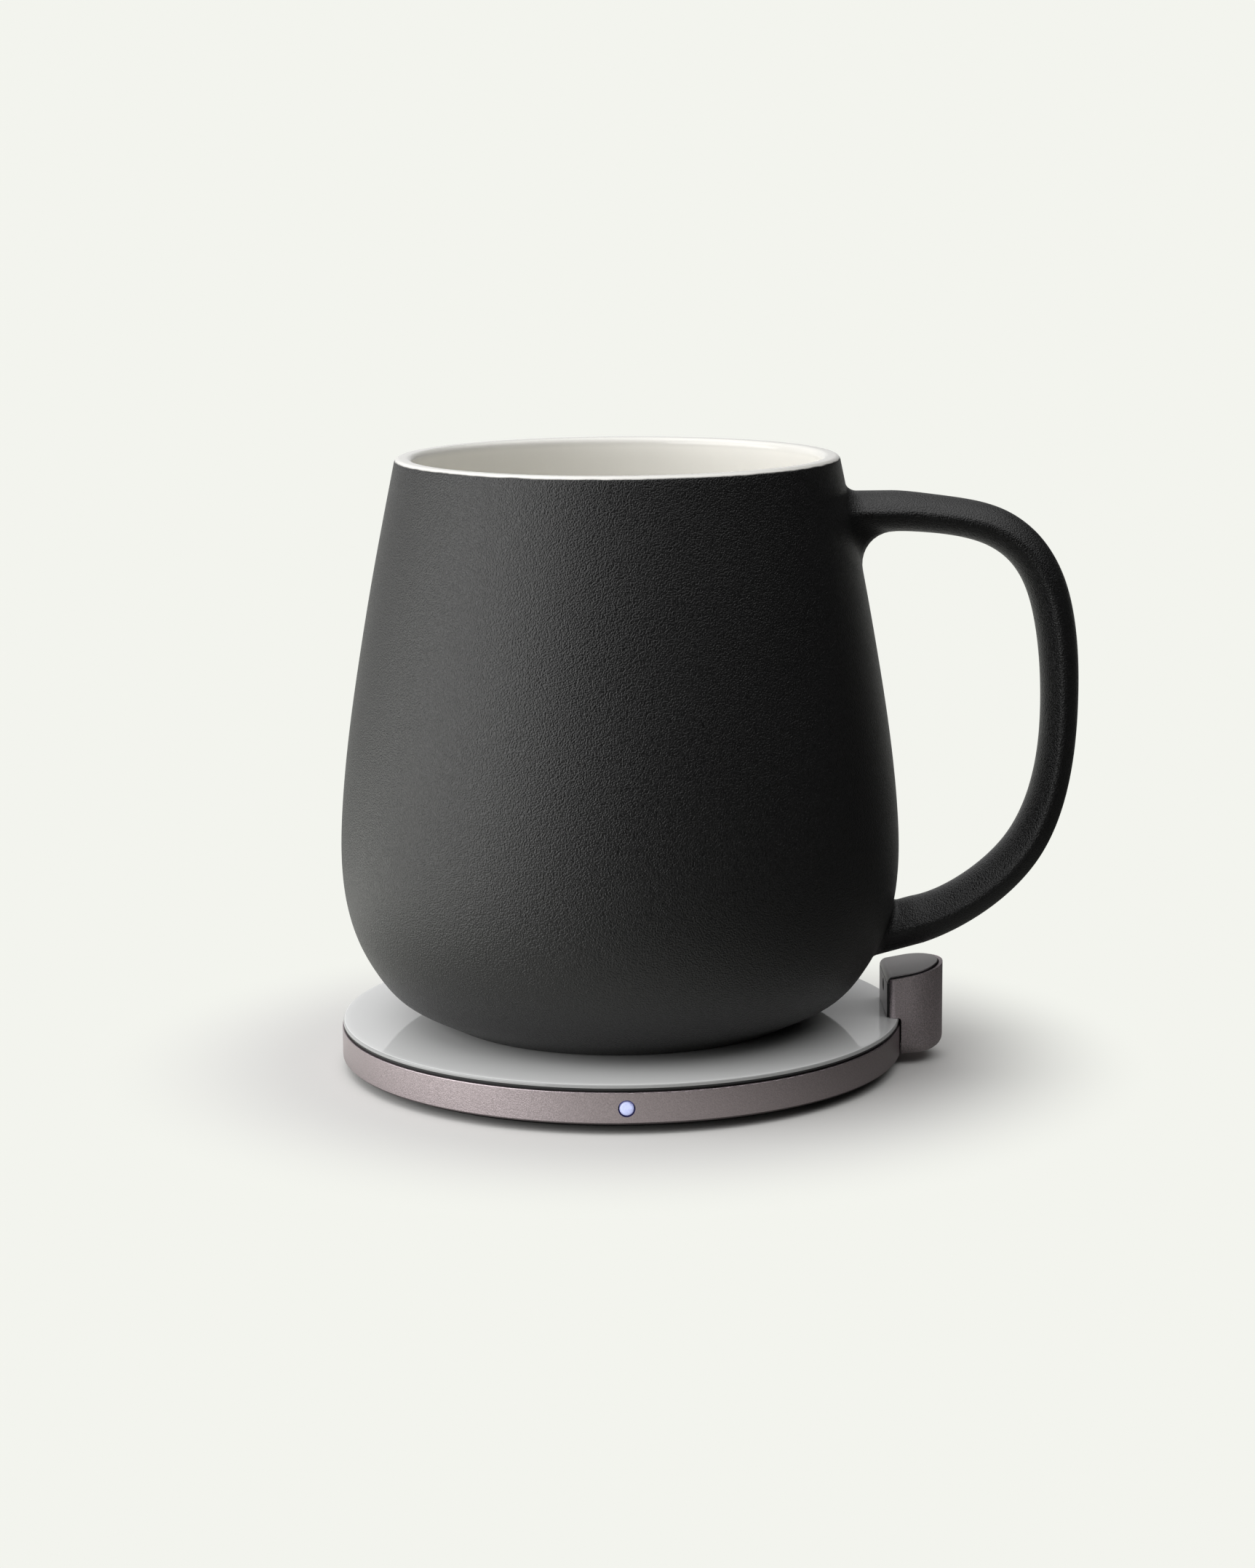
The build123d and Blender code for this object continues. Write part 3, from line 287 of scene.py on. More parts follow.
class Paint:
    """A node tree with the few nodes that these finishes need."""

    def __init__(self, owner):
        owner.use_nodes = True
        self.owner = owner
        self.tree = owner.node_tree
        self.tree.nodes.clear()

    def node(self, kind, values=None, output=0, **settings):
        """Adds one node, sets it up and gives one of its outputs."""
        made = self.tree.nodes.new(kind)
        for name, setting in settings.items():
            setattr(made, name, setting)
        for name, value in (values or {}).items():
            if isinstance(value, Value):
                self.tree.links.new(value.socket, made.inputs[name])
            else:
                made.inputs[name].default_value = value
        return Value(self, made.outputs[output]) if len(made.outputs) else None

    def math(self, operation, *values):
        """A Math node on one or two values."""
        return self.node("ShaderNodeMath", dict(enumerate(values)), operation=operation)

    def noise(self, place, scale, detail=2.0, rough=0.5):
        """Soft noise between 0 and 1; scale is in grains per metre."""
        values = {"Vector": place, "Scale": scale, "Detail": detail, "Roughness": rough}
        return self.node("ShaderNodeTexNoise", values)

    def grain(self, place, scale):
        """Crisp fine grain between 0 and 1."""
        return self.spread(self.noise(place, scale, 1.0), 0.25, 0.75)

    def cells(self, place, scale):
        """Round cells, given as the distance from each cell's middle."""
        return self.node("ShaderNodeTexVoronoi", {"Vector": place, "Scale": scale})

    def axis(self, place, name):
        """One coordinate of a place."""
        return self.node("ShaderNodeSeparateXYZ", {"Vector": place}, name)

    def spread(self, value, low, high, new_low=0.0, new_high=1.0):
        """A value mapped smoothly from one range to another."""
        values = {"Value": value, "From Min": low, "From Max": high,
                  "To Min": new_low, "To Max": new_high}
        return self.node("ShaderNodeMapRange", values, interpolation_type="SMOOTHSTEP")

    def blend(self, share, first, second):
        """A colour between two colours."""
        values = {0: share, 6: colour4(first), 7: colour4(second)}
        return self.node("ShaderNodeMix", values, 2, data_type="RGBA", clamp_factor=True)

    def bump(self, height, distance, strength=1.0):
        """A normal from a height between 0 and 1."""
        values = {"Height": height, "Distance": distance, "Strength": strength}
        return self.node("ShaderNodeBump", values)

    def surface(self, values):
        """Ends the tree with one Principled shader."""
        shader = self.node("ShaderNodeBsdfPrincipled", values)
        self.node("ShaderNodeOutputMaterial", {"Surface": shader})

    def toward(self, direction, aim):
        """How much a direction points to an aim: the cosine of the angle between them."""
        return self.node("ShaderNodeVectorMath", {0: direction, 1: aim}, "Value",
                         operation="DOT_PRODUCT")

    def looks(self):
        """One where a camera looks, and one where a mirror or a glass looks."""
        camera, glossy, through = (self.node("ShaderNodeLightPath", output=f"Is {kind} Ray")
                                   for kind in ("Camera", "Glossy", "Transmission"))
        return camera, (glossy + through).at_most(1.0) * (1 - camera)


def colour4(colour):
    """A colour with full alpha, or the link that gives one."""
    return colour if isinstance(colour, Value) else (*colour[:3], 1.0)


def shade(colour, factor):
    """A darker or lighter copy of a colour."""
    return tuple(part * factor for part in colour[:3])


def new_paint(name):
    """The tree of a new material, and its object coordinates in metres."""
    paint = Paint(bpy.data.materials.new(name))
    return paint, paint.node("ShaderNodeTexCoord", output="Object")


def above_glaze_line(paint, place):
    """Height above the line at the lip where the black glaze ends."""
    mug, dock, _, _ = sizes()
    return paint.axis(place, "Z") - (dock.glass_top + mug.glaze_line)


def black_glaze(look):
    """Matt black glaze with a fine grain, thinning to white at the lip, where the white is drawn
    darker as painted shade.
    """
    paint, place = new_paint("black glaze")
    grain = paint.grain(place, 3600)
    cloud = paint.noise(place, 70, 3.0)
    waver = (paint.noise(place, 260) - 0.5) * (0.3 * MM)
    pale = paint.spread(above_glaze_line(paint, place) + waver, -0.15 * MM, 0.15 * MM)
    dark = paint.blend(grain, shade(look.black, 0.72), shade(look.black, 1.3))
    dark = paint.blend(cloud, dark, shade(look.black, 1.12))
    matt = 0.39 + (grain - 0.5) * 0.12 + (cloud - 0.5) * 0.05
    paint.surface({
        # Painted shade: the white at the lip is drawn darker than the glaze's own white
        "Base Color": paint.blend(pale, dark, shade(look.white, LIP_PAINTED_SHADE)),
        "Roughness": matt - (matt - 0.14) * pale,
        "IOR": 1.5,
        "Normal": paint.bump(grain * (1 - pale), 0.08 * MM),
    })


def white_glaze(look):
    """Glossy warm white glaze with a very soft unevenness, drawn darker towards the lip as painted
    shade.
    """
    paint, place = new_paint("white glaze")
    cloud = paint.noise(place, 45, 3.0)
    pool = paint.noise(place, 240)
    # Painted shade: the white is drawn darker near the lip
    painted_lip_shade = paint.spread(above_glaze_line(paint, place), -1.5 * MM, 0.2 * MM)
    tone = paint.blend(cloud, shade(look.white, 0.97), shade(look.white, 1.02))
    paint.surface({
        "Base Color": paint.blend(painted_lip_shade, tone, shade(look.white, LIP_PAINTED_SHADE)),
        "Roughness": 0.13 + pool * 0.05,
        "IOR": 1.5,
        "Normal": paint.bump(cloud, 0.25 * MM, 0.25),
    })


def blasted_metal(name, colour, rough, spark):
    """Anodised metal with a sandblasted grain of small sparks."""
    paint, place = new_paint(name)
    grain = paint.grain(place, 4600)
    patch = paint.noise(place, 120)
    tone = paint.blend(grain, shade(colour, 1 - spark), shade(colour, 1 + spark))
    paint.surface({
        "Base Color": paint.blend(patch * 0.3, tone, shade(colour, 0.94)),
        "Metallic": 1.0,
        "Roughness": rough + (grain - 0.5) * 0.12,
        "Normal": paint.bump(grain, 0.02 * MM, 0.6),
    })


def printed_glass(look, size):
    """Clear glass over a pale print: a pale surface under a polished coat."""
    paint, place = new_paint("white backed glass")
    cloud = paint.noise(place, 30)
    wipe = paint.noise(place, 9, 3.0)
    height = paint.axis(place, "Z") - size.glass_top
    top = paint.spread(height, -0.66 * MM, -0.58 * MM)
    rim = paint.spread(height, -0.1 * MM, -0.01 * MM)
    back = paint.blend(cloud, shade(look.glass, 0.985), shade(look.glass, 1.015))
    clear = paint.blend(rim, shade(look.glass, 0.45), back)
    paint.surface({
        "Base Color": paint.blend(top, (0.012, 0.012, 0.013), clear),
        "Roughness": 0.035 + wipe * 0.03 + (1 - top) * 0.5,
        "IOR": 1.52,
        "Normal": paint.bump(cloud, 0.02 * MM, 0.2),
    })


def moulding(name, colour, rough, scale=1800, depth=0.02):
    """Moulded plastic or rubber with a fine spark eroded grain."""
    paint, place = new_paint(name)
    grain = paint.noise(place, scale, 3.0, 0.6)
    patch = paint.noise(place, 90)
    tone = paint.blend(grain, shade(colour, 0.8), shade(colour, 1.2))
    paint.surface({
        "Base Color": tone,
        "Roughness": rough + (patch - 0.5) * 0.1,
        "Normal": paint.bump(grain, depth * MM, 0.5),
    })


def plain_metal(name, colour, rough):
    """Bare or plated metal with faint rolling marks."""
    paint, place = new_paint(name)
    stretched = paint.node("ShaderNodeMapping", {"Vector": place, "Scale": (1, 12, 1)})
    marks = paint.noise(stretched, 500, 3.0)
    paint.surface({
        "Base Color": paint.blend(marks, shade(colour, 0.9), shade(colour, 1.08)),
        "Metallic": 1.0,
        "Roughness": rough + (marks - 0.5) * 0.15,
        "Normal": paint.bump(marks, 0.005 * MM, 0.4),
    })


def circuit_mask(name, colour):
    """Solder mask with paler conductor lines showing through."""
    paint, place = new_paint(name)
    lines = paint.cells(place, 420)
    tracks = paint.spread(lines, 0.42, 0.5)
    grain = paint.noise(place, 1500)
    tone = paint.blend(tracks, colour, shade(colour, 1.7))
    paint.surface({
        "Base Color": tone,
        "Roughness": 0.32 + grain * 0.1,
        "Normal": paint.bump(tracks, 0.03 * MM, 0.4),
    })


def foam(name, colour):
    """Closed cell foam."""
    paint, place = new_paint(name)
    cells = paint.cells(place, 1600)
    paint.surface({
        "Base Color": paint.blend(cells, shade(colour, 1.05), shade(colour, 0.75)),
        "Roughness": 0.85 + cells * 0.1,
        "Normal": paint.bump(cells, 0.1 * MM, 0.6),
    })


def lit_lens(look, size):
    """Frosted light guide that glows in soft clouds, bluer at its edge."""
    paint, place = new_paint("lit indicator")
    across = paint.axis(place, "X")
    up = paint.axis(place, "Z") - size.socket_middle
    outward = (across * across + up * up) ** 0.5
    edge = paint.spread(outward, size.lens_radius * 0.6, size.lens_radius * 1.02)
    cloud = paint.spread(paint.noise(place, 1100), 0.35, 0.65)
    middle = paint.blend(cloud, shade(look.light, 0.6), shade(look.light, 1.35))
    glow = paint.blend(edge, middle, (0.05, 0.06, 0.3))
    paint.surface({
        "Base Color": (0.6, 0.65, 0.9, 1.0),
        "Roughness": 0.25 + cloud * 0.1,
        "Emission Color": glow,
        "Emission Strength": 0.3,
    })


# Shapes

def walked(points):
    """The distance along a line of points, at each of them."""
    return np.concatenate(([0.0], np.cumsum(np.linalg.norm(np.diff(points, axis=0), axis=1))))


def smooth_line(points, count):
    """Points on the natural cubic curve through the given ones, evenly spread along it."""
    given = np.array(points, float)
    at = walked(given)
    gaps = np.diff(at)
    size = len(given)
    system = np.eye(size)
    right = np.zeros_like(given)
    for i in range(1, size - 1):
        system[i, i - 1:i + 2] = gaps[i - 1], 2 * (gaps[i - 1] + gaps[i]), gaps[i]
        rise = (given[i + 1] - given[i]) / gaps[i] - (given[i] - given[i - 1]) / gaps[i - 1]
        right[i] = 6 * rise
    bend = np.linalg.solve(system, right)
    t = np.linspace(0.0, at[-1], count)
    i = np.clip(np.searchsorted(at, t) - 1, 0, size - 2)
    h = gaps[i][:, None]
    a = (at[i + 1] - t)[:, None] / h
    b = (t - at[i])[:, None] / h
    curved = ((a**3 - a) * bend[i] + (b**3 - b) * bend[i + 1]) * h * h / 6
    return a * given[i] + b * given[i + 1] + curved


def smooth_values(at, values, count):
    """Values on a smooth curve through the given ones, at evenly spread places."""
    curve = smooth_line(np.column_stack((at, values)), count)
    return np.interp(np.linspace(0.0, at[-1], count), curve[:, 0], curve[:, 1])


def side_line(size):
    """The mug's outer side line as (radius, height above the foot), from foot to lip."""
    points = [(size.radius * across, size.height * up) for up, across in SIDE_SHARES]
    return smooth_line(points, SIDE_POINTS)


def turned(points, corners, steps):
    """The closed skin that (radius, height) points draw about the Z axis, its faces outwards.

    Corners gives the rounding of some points: a radius and a number of segments.
    """
    bm = bmesh.new()
    verts = [bm.verts.new((radius, 0.0, height)) for radius, height in points]
    for pair in zip(verts, verts[1:]):
        bm.edges.new(pair)
    for index, (radius, segments) in corners.items():
        round_off(bm, [verts[index]], radius, segments, "VERTICES")
    bmesh.ops.spin(bm, geom=bm.verts[:] + bm.edges[:], cent=(0, 0, 0), axis=(0, 0, 1),
                   dvec=(0, 0, 0), angle=2 * math.pi, steps=steps, use_merge=True)
    bmesh.ops.remove_doubles(bm, verts=bm.verts, dist=MERGE)
    bmesh.ops.recalc_face_normals(bm, faces=bm.faces)
    return bm


def shift(bm, vec, verts=None):
    """Moves a mesh, or some of its corners."""
    bmesh.ops.translate(bm, vec=vec, verts=verts or bm.verts)


def stretch(bm, vec, verts=None):
    """Scales a mesh, or some of its corners."""
    bmesh.ops.scale(bm, vec=vec, verts=verts or bm.verts)


def quarter_turn(bm, axis):
    """Turns a mesh by 90 degrees about an axis."""
    bmesh.ops.rotate(bm, cent=(0, 0, 0), matrix=Matrix.Rotation(math.pi / 2, 3, axis),
                     verts=bm.verts)


def round_off(bm, geom, radius, segments, affect="EDGES"):
    """Rounds some edges or corners of a mesh."""
    bmesh.ops.bevel(bm, geom=geom, offset=radius, offset_type="OFFSET", segments=segments,
                    profile=0.5, affect=affect, material=-1)


def edges_where(bm, test):
    """The edges with both ends at places that pass a test."""
    return [edge for edge in bm.edges if all(test(vert.co) for vert in edge.verts)]


def only(kind, items):
    """Those of one kind among the things that an operator gives back."""
    return [item for item in items if isinstance(item, kind)]


def cut_off(bm, place, facing):
    """Cuts off what lies beyond a plane, where it faces, and gives the edges of the cut."""
    made = bmesh.ops.bisect_plane(bm, geom=bm.verts[:] + bm.edges[:] + bm.faces[:], dist=NEAR,
                                  plane_co=place, plane_no=facing, clear_outer=True)
    return only(bmesh.types.BMEdge, made["geom_cut"])


def cylinder(radius, bottom, top, steps):
    """A closed round bar on the Z axis."""
    bm = bmesh.new()
    bmesh.ops.create_cone(bm, cap_ends=True, segments=steps, radius1=radius, radius2=radius,
                          depth=top - bottom)
    shift(bm, (0, 0, (top + bottom) / 2))
    return bm


def add_object(name, data):
    """A new object at the scene's origin."""
    made = bpy.data.objects.new(name, data)
    bpy.context.scene.collection.objects.link(made)
    return made


def add_mesh(name, bm):
    """A new object from a bmesh, which is used up."""
    mesh = bpy.data.meshes.new(name)
    bm.to_mesh(mesh)
    bm.free()
    return add_object(name, mesh)


def finish_piece(name, bm, body, nodes, finishes, sharp=35.0):
    """Makes the object, gives it its finishes and lets it stand for its nodes."""
    piece = add_mesh(name, bm)
    piece.data.shade_smooth()
    piece.data.set_sharp_from_angle(angle=math.radians(sharp))
    for finish in finishes:
        piece.data.materials.append(bpy.data.materials[finish])
    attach(piece, body)
    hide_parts(*nodes)
    return piece


def modify(piece, kind, **settings):
    """Adds a modifier, sets it up and applies it."""
    modifier = piece.modifiers.new(kind, kind)
    for name, setting in settings.items():
        setattr(modifier, name, setting)
    graph = bpy.context.evaluated_depsgraph_get()
    made = bpy.data.meshes.new_from_object(piece.evaluated_get(graph), depsgraph=graph)
    piece.modifiers.clear()
    piece.data = made


def carve(piece, *tools):
    """Cuts closed tool meshes out of a piece."""
    for bm in tools:
        cutter = add_mesh("cutter", bm)
        modify(piece, "BOOLEAN", operation="DIFFERENCE", solver="EXACT", object=cutter)
        bpy.data.objects.remove(cutter)


def soften(piece, width, limit, dark=None):
    """Breaks edges sharper than a limit in degrees and shades the piece smooth again.

    Faces whose normal passes the test named dark get the piece's second finish, a dark finish
    drawn there as painted shade.
    """
    modify(piece, "BEVEL", width=width, segments=2, limit_method="ANGLE",
           angle_limit=math.radians(limit))
    for face in piece.data.polygons:
        if dark and dark(face.normal):
            face.material_index = 1
    piece.data.shade_smooth()
    piece.data.set_sharp_from_angle(angle=math.radians(CRISP))
    modify(piece, "WEIGHTED_NORMAL", keep_sharp=True)


class MUG_OT_finishes(bpy.types.Operator):
    """Write the procedural finishes of all pieces"""
    bl_idname = "mug.finishes"
    bl_label = "Finishes"

    def execute(self, context):
        _, dock, look, _ = sizes()
        black_glaze(look)
        white_glaze(look)
        printed_glass(look, dock)
        lit_lens(look, dock)
        blasted_metal("ring metal", look.ring, 0.40, 0.16)
        # Painted light: the post's metal is drawn lighter than the ring's, which is the same
        # anodising
        blasted_metal("post metal", look.post, 0.55, 0.3)
        blasted_metal("strip metal", look.strip, 0.42, 0.10)
        moulding("seal rubber", (0.012, 0.012, 0.013), 0.6)
        moulding("foot silicone", (0.045, 0.045, 0.048), 0.7, 900, 0.05)
        moulding("cover plastic", (0.012, 0.012, 0.013), 0.7, 1300, 0.06)
        moulding("base plastic", (0.05, 0.05, 0.053), 0.45)
        moulding("frame plastic and gap shade", (0.008, 0.008, 0.009), 0.4)
        moulding("chip plastic", (0.018, 0.018, 0.019), 0.4)
        moulding("ferrite", (0.07, 0.07, 0.075), 0.35, 2500, 0.03)
        moulding("film", (0.48, 0.27, 0.07), 0.3, 300, 0.02)
        moulding("window", (0.004, 0.004, 0.006), 0.08, 600, 0.001)
        plain_metal("screw steel", (0.07, 0.07, 0.072), 0.4)
        plain_metal("socket steel", (0.58, 0.58, 0.60), 0.28)
        plain_metal("copper wire", (0.72, 0.33, 0.17), 0.3)
        plain_metal("contact gold", (0.80, 0.58, 0.24), 0.25)
        circuit_mask("circuit board", (0.012, 0.10, 0.045))
        foam("foam", (0.62, 0.61, 0.57))
        return {"FINISHED"}


class MUG_OT_shell(bpy.types.Operator):
    """Turn the glazed shell with lip, foot ring and heater recess"""
    bl_idname = "mug.shell"
    bl_label = "Shell"

    def execute(self, context):
        size, dock, _, _ = sizes()
        bm = turned(*self.section(size), TURN_STEPS)
        shift(bm, (0, 0, dock.glass_top))
        self.glaze_inside(bm, dock.glass_top + size.floor - NEAR)
        finish_piece("mug_shell", bm, "mug", ["mug_body"],
                     ["black glaze", "white glaze"], 50)
        return {"FINISHED"}

    def section(self, size):
        """Half the section, from the drink's floor over lip and foot to the recess."""
        line = side_line(size)
        along = np.gradient(line, axis=0)
        along /= np.linalg.norm(along, axis=1)[:, None]
        inner = line + np.column_stack((-along[:, 1], along[:, 0])) * size.wall
        low = size.floor + size.floor_corner * FLOOR_ROOM
        high = size.height - size.lip_inner * INNER_LIP_ROOM
        inner = [tuple(place) for place in inner[::3] if low < place[1] < high]
        high = size.height - size.lip_outer * OUTER_LIP_ROOM
        outer = [tuple(place) for place in line[::2] if place[1] < high]
        rim = np.interp(size.height, line[:, 1], line[:, 0])
        mouth = inner[-1][0] + (inner[-1][0] - inner[-2][0])
        points = [(0.0, size.floor), (inner[0][0], size.floor), *inner, (mouth, size.height),
                  (rim, size.height), *reversed(outer), (size.plate_radius, 0.0),
                  (size.plate_radius, size.plate_depth), (size.recess_radius, size.plate_depth),
                  (size.recess_radius, size.recess_depth), (0.0, size.recess_depth)]
        lip = len(inner) + 2
        return points, {
            1: (size.floor_corner, 14),
            lip: (size.lip_inner, 10),
            lip + 1: (size.lip_outer, 8),
            lip + 1 + len(outer): (size.foot_edge, 4),
        }

    def glaze_inside(self, bm, low):
        """Gives the white glaze to the floor, the inner wall and the top of the lip."""
        for face in bm.faces:
            middle = face.calc_center_median()
            outward = face.normal.x * middle.x + face.normal.y * middle.y
            if middle.z > low and (outward < 0 or face.normal.z > 0.9):
                face.material_index = 1


def grip_outline(size, half_width, half_thickness):
    """The handle's section: two domes that meet in rounded side ridges."""
    side = half_width - size.grip_edge
    rise = half_thickness - size.grip_edge
    dome = (side**2 + half_thickness**2 - size.grip_edge**2) / (2 * rise)
    drop = dome - half_thickness
    lean = math.atan2(side, drop)
    ridge = GRIP_POINTS // 8
    spans = GRIP_POINTS // 4 - ridge
    half = []
    for step in range(spans * 2):
        turn = lean * (1 - step / spans)
        half.append((dome * math.sin(turn), dome * math.cos(turn) - drop))
    for step in range(ridge * 2):
        turn = lean + (math.pi - 2 * lean) * step / (2 * ridge)
        half.append((-side - size.grip_edge * math.sin(turn), size.grip_edge * math.cos(turn)))
    return half + [(-across, -up) for across, up in half]


class Wall:
    """The mug's outer wall, for pieces that grow out of it."""

    def __init__(self, line, foot):
        self.line = line
        self.foot = foot

    def radius(self, height):
        """The wall's radius at a height."""
        return float(np.interp(height - self.foot, self.line[:, 1], self.line[:, 0]))

    def point(self, across, height):
        """The place towards the handle that lies just under the wall's skin."""
        radius = self.radius(height) - FILLET_SINK
        return Vector((math.sqrt(max(radius**2 - across**2, 0.0)), across, height))

    def gap(self, place):
        """How far a place stands out from the wall."""
        return math.hypot(place.x, place.y) - self.radius(place.z)

    def reach(self, start, toward):
        """Where a straight line from a place meets the wall, found in careful steps."""
        length = 0.0
        for _ in range(30):
            length += self.gap(start + toward * length) * 0.8
        return start + toward * length


def root_ring(wall, ring, centre, toward, radii):
    """For each place of a ring, the corner on the wall and where its fillet starts and ends."""
    above, below, beside = radii
    places = []
    for place in ring:
        corner = wall.reach(place, toward)
        outward = place - centre
        outward -= toward * outward.dot(toward)
        outward.normalize()
        toward_end = above if outward.z > 0 else below
        radius = beside + (toward_end - beside) * outward.z**2
        landing = corner + outward * radius
        end = wall.point(landing.y, landing.z)
        places.append((corner - toward * radius, corner, end))
    return places


def add_ring(bm, edges, places, spot):
    """Extrudes an open ring of edges; the layer spot says which place each vertex takes."""
    made = bmesh.ops.extrude_edge_only(bm, edges=edges)["geom"]
    fresh = set(only(bmesh.types.BMVert, made))
    for vert in fresh:
        vert.co = places[vert[spot]]
    return [edge for edge in only(bmesh.types.BMEdge, made) if fresh.issuperset(edge.verts)]


class MUG_OT_handle(bpy.types.Operator):
    """Draw the pointed oval handle along its loop, with filleted roots on the wall"""
    bl_idname = "mug.handle"
    bl_label = "Handle"

    def execute(self, context):
        size, dock, _, _ = sizes()
        wall = Wall(side_line(size), dock.glass_top)
        sections = self.sections(size, wall)
        gaps = [min(wall.gap(place) for place in ring) for _, _, ring in sections]
        first = min(index for index, gap in enumerate(gaps) if gap > UPPER_GAP)
        last = max(index for index, gap in enumerate(gaps) if gap > LOWER_GAP)
        middle = (first + last) // 2
        bm = bmesh.new()
        bmesh.ops.create_circle(bm, cap_ends=False, segments=GRIP_POINTS, radius=size.radius)
        spot = bm.verts.layers.int.new("spot")
        for index, vert in enumerate(bm.verts):
            vert[spot] = index
            vert.co = sections[middle][2][index]
        start = bm.edges[:]
        for way, end, radii in ((1, last, LOWER_FILLET), (-1, first, UPPER_FILLET)):
            edges = start
            for index in range(middle + way, end + way, way):
                edges = add_ring(bm, edges, sections[index][2], spot)
            self.grow_root(bm, edges, spot, wall, sections[end], way, radii)
        bm.verts.layers.int.remove(spot)
        bmesh.ops.recalc_face_normals(bm, faces=bm.faces)
        finish_piece("mug_loop_handle", bm, "mug", ["mug_handle"],
                     ["black glaze"], 60)
        return {"FINISHED"}

    def sections(self, size, wall):
        """The middle, the direction and the ring of places of each section along the loop."""
        given = []
        for reach, up, thick, wide in HANDLE_SHARES:
            height = wall.foot + size.height * up
            given.append((wall.radius(height) + size.reach * reach, height,
                          size.grip_thickness * thick, size.grip_width * wide))
        given = np.array(given)
        at = walked(given[:, :2])
        path = smooth_line(given[:, :2], GRIP_STATIONS)
        thick = smooth_values(at, given[:, 2], GRIP_STATIONS)
        wide = smooth_values(at, given[:, 3], GRIP_STATIONS)
        made = []
        for index, (run, rise) in enumerate(np.gradient(path, axis=0)):
            centre = Vector((path[index, 0], 0.0, path[index, 1]))
            toward = Vector((run, 0.0, rise)).normalized()
            across, up = Vector((0.0, 1.0, 0.0)), Vector((-toward.z, 0.0, toward.x))
            outline = grip_outline(size, float(wide[index]) / 2, float(thick[index]) / 2)
            made.append((centre, toward, [centre + across * a + up * b for a, b in outline]))
        return made

    def grow_root(self, bm, edges, spot, wall, section, way, radii):
        """Adds the fillet rings from the last free section to the wall, and closes the end."""
        centre, toward, ring = section
        toward = toward * way
        root = root_ring(wall, ring, centre, toward, radii)
        for share in (0.5, 1.0):
            places = [place.lerp(begin, share) for place, (begin, _, _) in zip(ring, root)]
            edges = add_ring(bm, edges, places, spot)
        for step in range(1, FILLET_STEPS + 1):
            share = step / FILLET_STEPS
            left = 1 - share
            places = []
            for begin, corner, end in root:
                near = begin.lerp(corner, FILLET_PULL)
                far = end.lerp(corner, FILLET_PULL)
                places.append(begin * left**3 + near * (3 * left**2 * share)
                              + far * (3 * left * share**2) + end * share**3)
            edges = add_ring(bm, edges, places, spot)
        inward = [end + (corner - end) * 0.2 + toward * ROOT_SINK for _, corner, end in root]
        edges = add_ring(bm, edges, inward, spot)
        bmesh.ops.edgeloop_fill(bm, edges=edges)


class DOCK_OT_glass(bpy.types.Operator):
    """Turn the glass top and the slim seal under it"""
    bl_idname = "dock.glass"
    bl_label = "Glass and Seal"

    def execute(self, context):
        _, size, _, _ = sizes()
        radius, low, high = size.glass_radius, size.glass_bottom, size.glass_top
        points = [(0.0, low), (radius - LOWER_BAND, low), (radius, low), (radius, high),
                  (radius - UPPER_BAND, high), (0.0, high)]
        corners = {3: (size.glass_edge, 6), 2: (FINE_BREAK, 2)}
        bm = turned(points, corners, GLASS_STEPS)
        finish_piece("glass_top", bm, "dock", ["glass_plate"],
                     ["white backed glass"], 40)
        outer, high = size.gasket_radius, size.glass_bottom
        inner, low = outer - size.gasket_width, high - size.gasket_thickness
        points = [(inner, low), (outer, low), (outer, high), (inner, high), (inner, low)]
        corners = {1: (SOFT_BREAK, 2), 2: (SOFT_BREAK, 2)}
        bm = turned(points, corners, TURN_STEPS)
        finish_piece("glass_seal", bm, "dock", ["glass_gasket"], ["seal rubber"])
        return {"FINISHED"}


def post_prism(size, inset, front, bottom, top):
    """A closed prism with straight sides and a half oval nose."""
    bm = bmesh.new()
    bmesh.ops.create_circle(bm, cap_ends=True, segments=NOSE_STEPS, radius=1.0)
    stretch(bm, (size.nose - inset, size.half_width - inset, 1.0))
    shift(bm, (size.shoulder, 0, bottom))
    cut_off(bm, (size.shoulder, 0, 0), (-1, 0, 0))
    straight = edges_where(bm, lambda co: abs(co.x - size.shoulder) < NEAR)
    made = bmesh.ops.extrude_edge_only(bm, edges=straight)["geom"]
    shift(bm, (front - size.shoulder, 0, 0), only(bmesh.types.BMVert, made))
    bmesh.ops.dissolve_edges(bm, edges=straight, use_verts=False)
    made = bmesh.ops.extrude_face_region(bm, geom=bm.faces[:] + bm.edges[:],
                                         use_keep_orig=True)["geom"]
    shift(bm, (0, 0, top - bottom), only(bmesh.types.BMVert, made))
    bmesh.ops.recalc_face_normals(bm, faces=bm.faces)
    return bm


def slope_cut(bm, size, drop):
    """Cuts a prism off along the post's inclined top and closes it."""
    lean = Vector((-math.sin(size.top_slope), 0, math.cos(size.top_slope)))
    edges = cut_off(bm, (size.strip_front, 0, size.top_height - drop), lean)
    bmesh.ops.edgeloop_fill(bm, edges=edges)
    bmesh.ops.recalc_face_normals(bm, faces=bm.faces)


